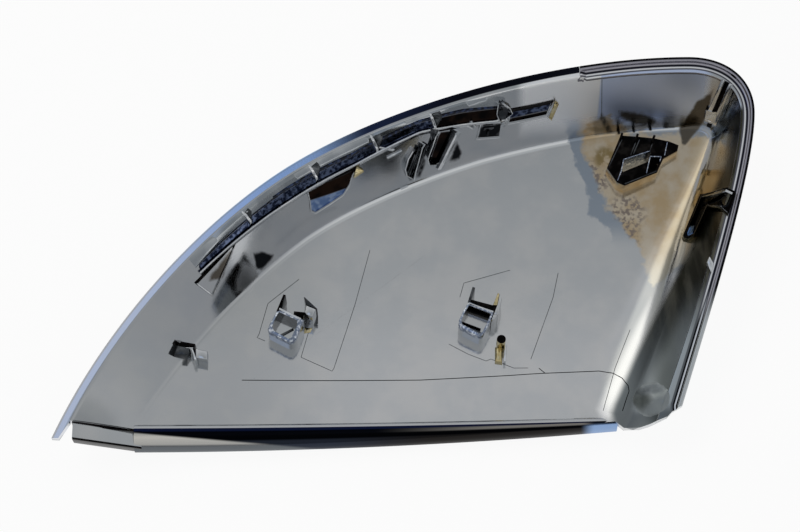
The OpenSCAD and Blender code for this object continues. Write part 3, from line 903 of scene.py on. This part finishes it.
# Where the shell's colour carries painted shade and painted reflections, in plan, mm
navy_places = [
    channel_bed(channel_from + 0.004, ended, 60),
    [(36.1, 46.6), (50.3, 49.7), (49.6, 48.3), (35.7, 45.3)],
]
dark_places = [
    channel_bed(ended, channel_to, 24),
    [(-32.4, 19.5), (-16.2, 27.4), (-18.1, 23.6), (-19.4, 22.6), (-31.6, 17.2)],
    [(35.7, 45.3), (49.6, 48.3), (48.9, 47.1), (35.4, 44.2)],
    [(12.3, 39.5), (15.7, 40.3), (12.3, 33.4), (9.2, 33.6), (9.6, 34.7)],
]
shade_places = [
    [(-50.8, 0.0), (-47.6, 1.3), (-43.5, 1.5), (-44.2, -0.5), (-47.8, -4.1), (-49.8, -4.4)],
    [(18.3, 39.4), (20.3, 37.0), (19.3, 35.3), (14.8, 33.9)],
    pocket_outlines["pocket_d"],
    [(0.9, 32.8), (3.4, 35.2), (5.4, 35.6), (2.6, 29.6)],
    [(6.6, 34.2), (8.2, 33.6), (6.0, 29.6), (3.6, 29.0)],
]
blue_places = [[(-31.6, 17.2), (-19.4, 22.6), (-20.5, 20.9), (-29.6, 14.8), (-31.3, 14.8)]]
grey_reflection_places = [
    [(-66.0, -11.8), (-55.5, 1.5), (-60.6, -9.6)],
    [(104.6, 53.2), (104.0, 49.2), (95.8, 39.6), (94.8, 47.0), (100.0, 52.2)],
    [(73.0, 50.0), (82.4, 49.8), (87.5, 48.3), (85.3, 47.3), (78.8, 47.6), (73.9, 48.6)],
    [(67.6, 49.4), (72.4, 45.8), (70.2, 45.6), (67.0, 48.0)],
]
tan_reflection_outline = [(62.2, 46), (61.5, 41), (66, 25.4), (73, 12.7), (80, -0.7), (84.5, -8.5), (97, -6), (103, 10),
                (110, 27), (112, 40), (106, 46.5), (93.8, 46.8), (78, 46.6)]
cream_line = [(84.5, -16), (91.5, -4.4), (103.4, 27.5), (106.9, 38.9)]
rim_line = [s.place for s in rim_stations()]
crease_line = [plan_at(s, s.run + 0.5) for s in rim_stations()
               if s.place[0] < 96 and (s.place[0] < 0 or s.place[1] > 0)]
high_wall = [(40, 43), (66, 46.5), (98, 47.5), (104, 50), (103, 62), (60, 60), (38, 53)]
glare_place = [(-54.2, -2.6), (-49.2, -2.8), (-48.6, -6.5), (-51.1, -11.6), (-57.0, -13.0), (-57.0, -8.5)]
bright_line = [(90.0, -9.0), (81.5, -24.0), (74.0, -39.0), (67.0, -54.0)]
side_outline = [(107.6, 46.5), (108.6, 38), (105.2, 27), (93.5, 1.2), (81.5, -21.7), (74, -36.7), (66, -54.4),
                (68, -64), (120, -64), (125, 48)]

# The marks that the finish and its painted shade, reflections and highlights go by: outlines that they fill,
# and lines that they keep beside
outlines = {
    "tan_reflection": [tan_reflection_outline], "navy": navy_places, "blue": blue_places, "dark": dark_places,
    "shade": shade_places, "grey_reflection": grey_reflection_places, "glare": [glare_place], "high_wall": [high_wall],
    "side": [side_outline],
}
places = places_of(shell)
# The outer skin lies over a millimetre below the hollow side, and is plain chrome: all its marks
# are far away
hollow = np.array([height_at(x, y) - z < 1.0 for x, y, z in places])
for name, filled in outlines.items():
    mark(shell, name, np.where(hollow, np.max([inside_by(places, o) for o in filled], axis=0), -99))
fading = np.maximum(0, (-50 - places[:, 0]) / 40)  # The painted highlight on the crease narrows towards the tip
for name, distance in (("cream", near_line(places, cream_line)), ("fillet", near_line(places, bright_line)),
                       ("crease", near_line(places, crease_line) + fading)):
    mark(shell, name, np.where(hollow, distance, 99))
# The stepped rim begins here, and the plain rim ends. Both marks are distances from the edge.
rim_change = beside_arc(ledge_from, 0)[0]
stepped = (places[:, 0] > rim_change) & (places[:, 2] > rim_height(places.T) - ledge_depth - 0.25)
across = near_line(places, rim_line[::2] + rim_line[-1:])
mark(shell, "rim", np.where(hollow & stepped, across, -2))
across = np.where(places[:, 0] < rim_change, near_line(places, rim_line[::2]), 99)
mark(shell, "lip", np.where(hollow, across, -2))

pieces = []


def add(obj, *finishes):
    pieces.append((obj, finishes))
    return obj


def block(name, finish, outline, top, **how):
    return add(rounded_block(name, outline, top, **how), finish)


def bar(name, finish, a, b, top, thick, **how):
    """A straight upright bar between two places."""
    a, b = np.array(a, float), np.array(b, float)
    u = (b - a) / np.hypot(*(b - a)) * thick / 2
    v = np.array([-u[1], u[0]])
    return block(name, finish, [a - u - v, b + u - v, b + u + v, a - u + v], top, **how)


add(shell, shell_plate())

# The rolled lower edge, whose painted reflections turn with it: nought on its top line, one at its lowest
edge = add(rolled_edge(), edge_plate())
places = places_of(edge)
share = (places[:, 0] - edge_start[0]) / (edge_end[0] - edge_start[0])
top_line = mix(edge_start[1], edge_end[1], share) + roll_crest
roll_width = mix(roll_width_tip, roll_width_end, share * np.abs(share)) + roll_crest
mark(edge, "turn", (top_line - places[:, 1]) / roll_width)

strip = add(tip_strip(), chrome, black, silver)
# Painted shade on the strip's faces that turn down or back, and painted highlights on its ends
faced(strip, 1, lambda c, n: n.y < -0.1 or n.y > 0.5)
faced(strip, 2, lambda c, n: abs(n.x) > 0.8)
# A black line along the strip's upper step, painted shade
bar("strip_line", black, strip_start + spot(0.8, -0.3), edge_start + spot(1.2, -0.3), follows(0.35), 0.9,
    r=0.1)

# The channel's lower rib, with painted navy shade on its inner side and a painted highlight on top
channel = np.linspace(channel_from, channel_to, 160)
lower_line = [beside_arc(t, channel_at(t)[0] + 0.35) for t in channel]
long_rib = add(ribs("long_rib", [lower_line], 1.5, thick=0.7, sink=1.6), chrome, navy, silver)
faced(long_rib, 1, lambda c, n: n.y > 0.35 and n.z < 0.6)
faced(long_rib, 2, lambda c, n: n.z > 0.75)

# Each gusset is a pale upright edge, a painted highlight, with a darker cheek of painted shade beside it
cheek = ((0.011, 3.5), (0.013, 5.0), (0.005, 6.3), (0.001, 4.2))
for k, t in enumerate((0.418, 0.543, 0.627, 0.699)):
    bar(f"gusset_{k}", silver, beside_arc(t, 3.5), beside_arc(t + 0.003, 6.4), follows(3), 0.85)
    block(f"gusset_cheek_{k}", shaded, [beside_arc(t + on, d) for on, d in cheek], follows(2.7), r=0.12)


def shelf():
    """The shelf between the channel and the rim, tapered at both ends."""
    sections = []
    for t in channel:
        a, b = beside_arc(t, 1.6), beside_arc(t, channel_at(t)[1])
        ends = min(1.0, (t - channel_from) / 0.05 + 0.02, (channel_to - t) / 0.05 + 0.05)
        line = []
        for across, rise in zip((0, 0.35, 0.7, 0.93, 1.0), (2.0, 2.0, 2.0, 1.93, 1.7)):
            p = mix(a, b, across)
            line.append((*p, min(rim_height(p) - 0.05, height_at(*p) + rise * ends)))
        sections.append(line + [(*b, height_at(*b) - 1.2), (*a, height_at(*a) - 2.0)])
    return sweep_mesh("channel_shelf", sections, 45)


ledge = add(shelf(), shelf_plate, navy)
# Painted navy shade on the shelf's steep face
faced(ledge, 1, lambda c, n: n.y < -0.55 and n.z < 0.35)

# Pockets: pale edges with painted highlights, but for the upper side, which has painted shade
for name, outline in pocket_outlines.items():
    ring = add(walled_ring(name, outline, 0.45, follows(0.55), sink=1.0, r=0.12), silver, black, chrome)
    middle, start = np.mean(outline, axis=0), outline[0]
    faced(ring, 2, lambda c, n: n.z < 0.4 and (c[0] - middle[0]) * n.x + (c[1] - middle[1]) * n.y >= 0)
    run = np.subtract(outline[1], start) / np.hypot(*np.subtract(outline[1], start))
    faced(ring, 1, lambda c, n: abs((c[0] - start[0]) * run[1] - (c[1] - start[1]) * run[0]) < 0.6)

# Ledges inside the square pocket, and what stands at the ends of the others, with painted shade, highlights
# and straw reflections
add(ribs("pocket_ledges", [smoothly([(27.2, 42.3), (30.5, 42.9)]), smoothly([(28.9, 42.4), (28.7, 41.5)])],
         0.8, thick=0.4, sink=0.6, radius=0.1), shaded)
block("pocket_end", straw, [(51.3, 49.8), (52.5, 49.4), (50.5, 46.4), (49.5, 46.8)], follows(0.9), r=0.1)
bar("pocket_end_line", silver, (50.9, 49.9), (49.1, 46.9), follows(1.2), 0.6, r=0.15)
block("pocket_box", shaded, [(32.3, 47.5), (35.7, 46.7), (34.3, 43.8), (31.7, 44.9)], follows(1.6), r=0.1)
box_line = [(32.0, 47.5), (35.8, 46.6), (34.3, 43.6), (31.5, 44.8), (32.0, 47.5)]
add(ribs("pocket_box_line", [smoothly(box_line)], 1.9, thick=0.35, sink=1.0, radius=0.1), silver)
block("pocket_wedge", straw, [(-15.7, 27.6), (-13.4, 27.2), (-16.7, 25.2)], follows(1.6), r=0.1)

# The cluster of struts: a V of two bars, with hooked and rounded brackets between them; the pale ones carry
# painted highlights, the dark ones painted shade
struts = {
    "strut_main": (silver, 2.6, 1.0, 1.6, 0.25, [[(18.9, 40.6), (13.1, 33.1)]]),
    "strut_side": (shaded, 2.3, 0.9, 1.6, 0.25, [[(17.9, 40.4), (12.4, 33.2)]]),
    "strut_brackets": (silver, 2.6, 0.45, 1.6, 0.18, [
        [(11.9, 39.4), (11.0, 37.6), (10.0, 35.8), (9.2, 34.5), (8.9, 33.7), (9.1, 33.2), (9.8, 33.0),
         (10.8, 33.0), (12.3, 33.0)],
        [(4.4, 34.9), (2.8, 33.2), (1.5, 31.2), (1.2, 30.2), (1.6, 29.2), (2.6, 28.8), (4.0, 29.3)],
        [(7.2, 36.4), (4.2, 29.6)]]),
    "strut_webs": (shaded, 2.2, 0.5, 1.4, 0.15, [
        [(5.8, 35.6), (2.8, 30.2)], [(8.3, 36.6), (5.4, 31.2)], [(4.8, 34.6), (2.4, 30.6)]]),
}
for name, (finish, rise, thick, sink, radius, paths) in struts.items():
    # The brackets' points are close together already
    paths = [path if len(path) > 2 else straight(*path) for path in paths]
    add(ribs(name, paths, rise, thick, sink, radius), finish)
block("strut_triangle", shaded, [(9.0, 39.2), (11.6, 39.4), (9.8, 36.6)], follows(2.4), r=0.15)
low_struts = [[(1.5, 27.1), (-0.9, 26)], [(-8.5, 33.0), (-3.5, 33.4)], [(-5.5, 31.5), (-0.5, 33.8)],
              [(20.6, 42.2), (23.2, 41.8)], [(22.2, 43.2), (24.0, 42.4)]]
add(ribs("low_struts", [straight(*path) for path in low_struts], 0.9, sink=0.8, radius=0.15), silver)


clip_rise = 8.0  # How far the loops of the floor clips stand above the floor
clip_split = 5.4  # Below this height their sides are plain chrome


def floor_clip(name, at, angle, rail, window, bars, fins, plate, gap):
    """A curved loop with a wide bar across its foot, cross bars, fins and a plate beside it.
    Its places are drawn about its own middle."""
    top, z = level(at, clip_rise), floor_height(at)
    loop = rounded_block(name + "_loop", turned(at, angle, rail), top, r=0.7, step=1.5, split=clip_split)
    hole = anticlockwise(turned(at, angle, window))
    trim(loop, prism(hole, z + 2.2, z + 9), "DIFFERENCE")
    shade(loop, 40)
    add(loop, blue_grey, shaded, chrome)
    # The loop's blue-grey is a painted reflection; its sides that face into the window get painted shade, and
    # its low faces plain chrome
    faced(loop, 2, lambda c, n: n.z < 0.4 and c[2] < z + clip_split)
    middle = np.mean(hole, axis=0)
    faced(loop, 1, lambda c, n: n.z < 0.4 and (c[0] - middle[0]) * n.x + (c[1] - middle[1]) * n.y < 0)
    faced(loop, 2, lambda c, n: n.z > 0.8 and c[2] < z + 4)
    # Bars, fins and plate carry painted highlights, shade and reflections; the gap is a black block of
    # painted shade
    rows = [(f"bar_{k}", finish, outline, rise) for k, (outline, rise, finish) in enumerate(bars)]
    rows += [(f"fin_{k}", finish, outline, clip_rise) for k, (outline, finish) in enumerate(fins)]
    for part, finish, outline, rise in rows + [("plate", chrome, plate, 7.6), ("gap", black, gap, 7.2)]:
        block(f"{name}_{part}", finish, turned(at, angle, outline), level(at, rise), r=0.2, step=2)


floor_clip(
    "inner_floor_clip", (-39.9, -26.9), -28.7,
    rail=[(-4.9, 5.0), (-4.7, -1.0), (-4.3, -2.7), (-3.4, -3.5), (1.5, -3.5), (4.3, -3.4), (5.2, -2.6),
          (5.6, -1.0), (4.9, 3.3), (4.4, 6.0), (0, 5.6)],
    window=[(-3.9, 4.3), (2.6, 4.7), (3.6, 3.4), (4.0, -1.6), (3.4, -2.3), (-2.2, -2.1), (-3.4, -1.2),
            (-4.0, 2.0)],
    bars=[([(-4.6, 5.0), (3.6, 5.2), (3.6, 6.0), (-4.6, 5.8)], clip_rise, silver),
          ([(-1.5, -1.9), (-0.5, -2.1), (2.4, 2.6), (1.8, 3.2)], 2.6, shaded)],
    fins=[([(-4.9, 4.2), (-4.1, 4.2), (-5.0, 10.6), (-5.8, 10.4)], black),
          ([(0.6, 12.9), (1.2, 12.9), (6.6, 11.4), (2.8, 10.9)], shaded)],
    plate=[(2.8, 10.9), (6.2, 11.2), (6.4, 8.4), (4.6, 8.0), (3.4, 8.4)],
    gap=[(0.1, 7.2), (3.4, 8.6), (4.1, 5.8), (0.6, 5.7)])
floor_clip(
    "outer_floor_clip", (23, -25.1), -31,
    rail=[(-5.2, 6.2), (-5.2, 2.4), (-4.7, -1.2), (-3.9, -2.8), (-2.8, -3.3), (2.4, -3.2), (4.2, -3.0),
          (4.9, -2.0), (4.8, 1.0), (4.2, 6.0), (3.9, 7.4)],
    window=[(-4.4, 5.0), (-4.3, 1.6), (-3.8, -0.9), (-3.0, -1.9), (3.4, -1.7), (4.1, -1.0), (3.9, 2.4),
            (3.4, 6.2)],
    bars=[([(-4.9, 5.0), (3.7, 6.8), (3.7, 7.5), (-4.9, 5.8)], clip_rise, silver),
          ([(-4.7, 3.9), (3.8, 5.4), (3.7, 6.4), (-4.7, 5.0)], 5.0, black),
          ([(-4.3, -0.6), (2.6, 0.6), (2.5, 1.2), (-4.2, 0.1)], 4.0, black),
          ([(-3.4, -2.6), (3.9, -1.2), (3.8, 0.4), (-4.0, -0.9)], 3.4, shaded)],
    fins=[([(-5.4, 6.0), (-4.6, 6.2), (-5.8, 11.4), (-6.7, 11.2)], shaded),
          ([(1.6, 13.8), (2.3, 13.6), (3.6, 9.8), (2.4, 9.2)], straw),
          ([(2.4, 13.7), (3.9, 12.4), (5.6, 7.1), (4.2, 6.4), (3.6, 9.8)], chrome)],
    plate=[(4.1, 6.6), (5.4, 7.2), (5.2, 5.2), (4.5, 4.6)],
    gap=[(-4.9, 5.9), (3.8, 7.7), (3.5, 9.7), (-4.8, 7.4)])
# A painted straw reflection beside the inner floor clip
straw_reflection = turned((-39.9, -26.9), -28.7, [(4.6, 5.8), (6.9, 7.0), (7.1, 5.3), (5.4, 3.9)])
block("clip_straw_reflection", straw, straw_reflection, follows(0.25), sink=0.5, r=0.1)

# The locating boss, with its foot and web; its top is a painted black reflection, its sides and foot painted
# straw reflections, its web a painted highlight
boss = (32.4, -30.2)
circle = [1.5 * heading(a) for a in np.linspace(0, 360, 32, endpoint=False)]
post = add(rounded_block("locating_boss", turned(boss, 0, circle), level(boss, 7.2), r=0.35, step=3), black,
           straw)
faced(post, 1, lambda c, n: n.z < 0.3)
foot = turned(boss, 0, [(-2.0, -6.2), (0.4, -6.6), (0.8, -1.2), (-1.9, -1.2)])
block("boss_foot", straw, foot, level(boss, 2.4), r=0.8, step=3)
web = turned(boss, 0, [(0.7, -6.6), (1.5, -6.6), (1.9, -1.0), (1.1, -1.0)])
block("boss_web", silver, web, level(boss, 4.0), step=3)

# The clip on the crease near the tip, drawn about its own middle, with painted shade and highlights on its
# blocks
crease_at = (-70.6, -35)
for k, (finish, rise, outline) in enumerate([
        (black, 5.5, [(-4.6, 0.6), (-4.2, 2.2), (0.4, 3.4), (0.9, 1.9)]),
        (shaded, 5.0, [(-4.7, 0.9), (-0.4, 2.0), (-0.6, -1.2), (-4.4, -2.8)]),
        (silver, 5.5, [(-0.1, 1.2), (0.4, 1.6), (3.2, -1.2), (2.6, -1.6)]),
        (silver, 5.6, [(0.3, 1.5), (0.5, 2.0), (-1.8, 1.1), (-2.0, 0.7)]),
        (chrome, 4.6, [(1.0, 2.2), (5.0, 3.0), (6.2, 0.4), (2.6, -0.6)])]):
    block(f"crease_clip_{k}", finish, turned(crease_at, -25, outline), level(crease_at, rise), step=2)

# The corner clip: a block with a painted black reflection, with a slot and a box, fins along its top and pale
# ribs with painted highlights
corner_at = (78, 36)
corner_z = floor_height(corner_at)
corner_outline = [(74.2, 42.8), (69.2, 30.8), (72.5, 25.5), (75.0, 24.3), (86.2, 29.1), (88.5, 34.1),
                  (93.5, 37.1), (94.0, 39.2), (90.8, 40.6), (85.5, 41.8), (79.8, 42.4)]
slots = [[(74.2, 33.4), (75.1, 33.9), (84.0, 36.8), (84.4, 35.7), (83.7, 33.2), (74.7, 29.3), (73.7, 29.8)],
         [(84.6, 34.4), (87.4, 34.3), (87.1, 33.2), (85.6, 29.8), (83.1, 29.2)]]
clip = rounded_block("corner_clip", corner_outline, level(corner_at, 6.0), r=0.35)
for outline in slots:
    trim(clip, prism(anticlockwise(outline), corner_z + 0.3, corner_z + 9), "DIFFERENCE")
shade(clip, 40)
add(clip, black, straw, chrome, tan_plate)
# A painted tan reflection on the slot's floor and on the faces by its edge that turn to -Y; faces that turn
# to +Y are plain chrome
faced(clip, 3, lambda c, n: n.z > 0.8 and c[2] < corner_z + 1 and c[0] < 84.5)
faced(clip, 2, lambda c, n: n.y > 0.3 and n.z < 0.3)
faced(clip, 3, lambda c, n: n.y < -0.2 and n.z < 0.3 and inside_by(np.array([c]), corner_outline)[0] < 0.3)
for k, (a, b) in enumerate([((74.6, 42.7), (74.2, 41.4)), ((79.9, 42.4), (79.3, 40.6)),
                            ((85.6, 41.9), (84.9, 40.2))]):
    bar(f"corner_fin_{k}", black, a, b, level(corner_at, 7.5), 0.8)
pale_ribs = [[(79.8, 41.2), (77.5, 35.6)], [(80.6, 41.0), (78.4, 35.9)], [(85.4, 40.8), (84.0, 36.9)],
             [(74.6, 41.0), (70.0, 31.4)], [(72.7, 26.2), (73.9, 29.2)],
             [(84.3, 34.9), (87.8, 34.8), (87.3, 33.2)],
             [(84.0, 34.6), (82.6, 28.9)], [(89.0, 35.4), (90.1, 40.0)], [(75.2, 24.9), (86.0, 29.5)],
             [(74.0, 29.4), (75.0, 33.8), (84.0, 36.9)]]
for k, line in enumerate(pale_ribs):
    for m, (a, b) in enumerate(zip(line, line[1:])):
        bar(f"corner_line_{k}_{m}", shaded if k in (0, 1, 2, 3, 8) else blue_grey, a, b,
            level(corner_at, 6.15), 0.3, r=0.05, step=3)

# Two upright bars on the wall of the top corner, with painted highlights, a black bar of painted shade in the
# gap and a pale step
bar("corner_tab_0", silver, (106.8, 53.2), (103.9, 48.4), follows(3.4), 1.3)
bar("corner_tab_1", silver, (109.3, 51.9), (106.6, 46.9), follows(3.4), 1.3)
bar("corner_tab_2", black, (108.0, 52.4), (105.2, 47.4), follows(2.2), 1.6)
block("corner_tab_step", silver, [(102.9, 49.6), (106.6, 48.2), (106.4, 46.4), (103.1, 47.9)], follows(3.2),
      r=0.2)

# The hook on the wall of the broad side: a bent rim round a black hollow of painted shade, with a painted
# blue reflection at its end
hook_outline = [(110.2, 15.9), (100.2, 20.5), (94.0, 6.2), (94.4, 4.9), (95.6, 4.2), (97.4, 5.0),
                (101.6, 13.9), (107.3, 8.0), (109.4, 13.3)]
hook_rim = add(walled_ring("side_hook_rim", hook_outline, 0.9, follows(4), sink=1.4), black, side_wall_reflection)
faced(hook_rim, 1, lambda c, n: n.z < 0.3)
hollow_outline = offset_outline(anticlockwise(hook_outline), 0.5)
block("side_hook_floor", black, hollow_outline, follows(2.2), r=0.1)
bar("side_hook_top", silver, (100.8, 19.3), (108.6, 15.4), follows(4.1), 0.8)
bar("side_hook_left", silver, (100.3, 19.0), (96.2, 9.6), follows(3.6), 0.4)
bar("side_hook_line", silver, (101.9, 14.0), (107.1, 8.8), follows(4.2), 0.35)
block("side_hook_end", sky, [(95.8, 9.4), (97.6, 8.6), (96.9, 5.6), (95.5, 5.1), (94.9, 6.5)], follows(3.9),
      r=0.2)
block("side_tab", silver, [(100.8, -5.6), (102.2, -8.2), (101.2, -11.2), (99.8, -7.6)], follows(3), r=0.25)


def end_dome():
    """The domed swelling at the lower end of the broad side, soft at its foot."""
    middle, radius, rise, count = spot(81, -51.4), 6.1, 2.0, 48
    points, shares = [], (1.0, 0.94, 0.87, 0.8, 0.7, 0.6, 0.5, 0.38, 0.26, 0.13)
    for share in shares:
        for a in np.linspace(0, 360, count, endpoint=False):
            p = middle + radius * share * heading(a)
            up = rise * (1 - share * share) ** 1.8 - 0.04
            points.append((*p, min(height_at(*p) + up, rim_height(p) - rim_gap)))
    last = (len(shares) - 1) * count
    faces = ring_faces(count, len(shares)) + [tuple(range(last, last + count)),
                                              tuple(range(count - 1, -1, -1))]
    return new_object("end_dome", points, faces, 80)


# The swelling carries a painted darker reflection
add(end_dome(), dome_dark_reflection)

# Fine witness lines that the mould's inserts leave on the floor
strong_lines = [
    [(-53.5, -43.0), (-24.4, -42.9), (5.5, -42.6), (32.0, -41.2), (47.0, -40.3), (64.8, -39.7), (69.4, -40.7),
     (72.2, -42.7), (74.0, -45.7), (74.2, -47.7), (73.1, -50.7), (71.8, -54.5)],
    [(45.0, -38.5), (47.1, -40.4)],
]
fine_lines = [
    [(-35.3, -6.5), (-45.6, -15.4), (-48.3, -26.5), (-48.9, -27.7), (-46.2, -28.9)],
    [(-34.1, -34.6), (-23.7, -39.5), (-23.1, -38.4), (-16.3, -15.4), (-11.4, 4.2)],
    [(-31.6, -24.8), (-34.1, -34.6)],
    [(36.1, -3.1), (20.4, -7.7), (19.0, -12.8)],
    [(52.3, -4.3), (50.4, -13.0), (42.4, -35.2)],
    [(15.2, -29.7), (21.5, -33.3), (27.5, -35.8), (29.1, -35.1), (36.7, -38.4), (41.4, -38.4)],
]
fillet_lines = [[(75.7, -25.2), (72.8, -32.3), (70.2, -38.7), (65.6, -54.0)], [(66.6, 55.0), (67.7, 48.6)]]
for name, paths, rise, thick, radius, finish in (
        ("strong_witness_lines", strong_lines, 0.1, 0.28, 0.1, black),
        ("witness_lines", fine_lines, 0.07, 0.2, 0.08, shaded),
        ("fillet_witness_line", fillet_lines, 0.07, 0.2, 0.08, shaded)):
    add(ribs(name, [smoothly(path) for path in paths], rise, thick, 0.3, radius), finish)

for obj, finishes in pieces:
    dress(obj, *finishes)
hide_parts("cover")


# Floor, light and camera
def toward(azimuth, elevation):
    """A direction by degrees clockwise from +Y and degrees above the floor."""
    a, e = math.radians(azimuth), math.radians(elevation)
    return Vector((math.sin(a) * math.cos(e), math.cos(a) * math.cos(e), math.sin(e)))


# What the chrome mirrors is a grey room, brightest at about 60 degrees up, with soft panels.
# Its greys go by the sine of the height.
heights = [(-1.001, "#FFFFFF"), (-1.0, "#B8B8B6"), (0.0, "#B2B4B8"), (0.35, "#B9BBBE"), (0.64, "#C3C5C7"),
           (0.87, "#CFD0D1"), (0.94, "#BCBEBF"), (1.0, "#A8ABAD")]
# Each panel: direction, angles inside which it is full and beyond which it is gone, colour
panels = [
    (toward(-75, 12), 22, 42, "#6E706C"),
    (toward(-30, 40), 8, 17, "#FFFFFA"),
    (toward(-83, 82), 5, 9, "#CAD6EC"),
]


def seen_by(tree, *rays):
    """One for any of the given kinds of ray, and nought for the others."""
    path = link(tree, "ShaderNodeLightPath")
    seen = path.outputs[rays[0]]
    for ray in rays[1:]:
        seen = link(tree, "ShaderNodeMath", {"operation": "MAXIMUM"},
                    {0: seen, 1: path.outputs[ray]}).outputs[0]
    return seen


def studio_world():
    """White where the camera looks past the part. Mirrored rays meet the studio's grey cards,
    which stand before the white at every height, so that the chrome isn't white all over."""
    world = bpy.data.worlds.new("soft studio")
    bpy.context.scene.world = world
    world.use_nodes = True
    tree = world.node_tree
    tree.nodes.clear()
    way = link(tree, "ShaderNodeTexCoord").outputs["Generated"]
    up = link(tree, "ShaderNodeSeparateXYZ", inputs={0: way}).outputs["Z"]
    out = heights[0][1]
    for (low, _), (high, code) in zip(heights, heights[1:]):
        out = coat(tree, out, code, up, low, high)
    for direction, inner, outer, code in panels:
        aim = link(tree, "ShaderNodeVectorMath", {"operation": "DOT_PRODUCT"},
                   {0: way, 1: direction}).outputs["Value"]
        out = coat(tree, out, code, aim, math.cos(math.radians(outer)), math.cos(math.radians(inner)))
    cards = link(tree, "ShaderNodeBackground", inputs={"Color": out, "Strength": 1.0}).outputs[0]
    white = link(tree, "ShaderNodeBackground", inputs={"Color": (1, 1, 1, 1), "Strength": 1.0}).outputs[0]
    seen = seen_by(tree, "Is Camera Ray", "Is Transmission Ray")
    both = link(tree, "ShaderNodeMixShader", inputs={0: seen, 1: cards, 2: white})
    link(tree, "ShaderNodeOutputWorld", inputs={0: both.outputs[0]})


def studio_floor():
    """A pale board just under the part, nearly white to the camera and in the chrome, which
    keeps the part's soft shadow."""
    work = bmesh.new()
    bmesh.ops.create_grid(work, x_segments=8, y_segments=8, size=1.2)
    mesh = bpy.data.meshes.new("studio_floor")
    work.to_mesh(mesh)
    work.free()
    for v in mesh.vertices:
        v.co.z = cad_low[2] - 0.0005
    obj = shown("studio_floor", mesh)
    mat = bpy.data.materials.new("pale painted board")
    mat.use_nodes = True
    tree = mat.node_tree
    surface = tree.nodes["Principled BSDF"]
    surface.inputs["Base Color"].default_value = linear("#E6E6E4")
    surface.inputs["Roughness"].default_value = 0.9
    glow = link(tree, "ShaderNodeEmission", inputs={"Color": (1, 1, 1, 1), "Strength": 1.0}).outputs[0]
    seen = seen_by(tree, "Is Camera Ray", "Is Transmission Ray", "Is Glossy Ray")
    share = link(tree, "ShaderNodeMath", {"operation": "MULTIPLY"}, {0: seen, 1: 0.92}).outputs[0]
    both = link(tree, "ShaderNodeMixShader", inputs={0: share, 1: surface.outputs[0], 2: glow})
    tree.links.new(both.outputs[0], tree.nodes["Material Output"].inputs[0])
    mesh.materials.append(mat)


studio_world()
studio_floor()

# The lamp gives the floor its soft shadow; the chrome mirrors the room, not the lamp
light = bpy.data.lights.new("soft_top_lamp", "AREA")
light.shape, light.size, light.energy = "DISK", 0.9, 6
lamp = shown("soft_top_lamp", light)
lamp.location = (-0.6, 0.5, 1.1)
lamp.rotation_euler = (-lamp.location).to_track_quat("-Z", "Y").to_euler()
lamp.visible_glossy = False

camera = bpy.data.cameras.new("camera")
camera.lens, camera.sensor_width = 100, 36
# In shares of the picture's width of 800
camera.shift_x, camera.shift_y = -3.5 / 800, -15 / 800
camera.clip_start, camera.clip_end = 0.01, 20
eye = shown("camera", camera)
reach, lift = 742 * MM, math.radians(70)
eye.location = (centring[0] * MM, 2.35 * MM - reach * math.cos(lift), 15 * MM + reach * math.sin(lift))
eye.rotation_euler = (math.radians(90) - lift, 0, 0)
bpy.context.scene.camera = eye
bpy.context.scene.view_settings.view_transform = "Standard"
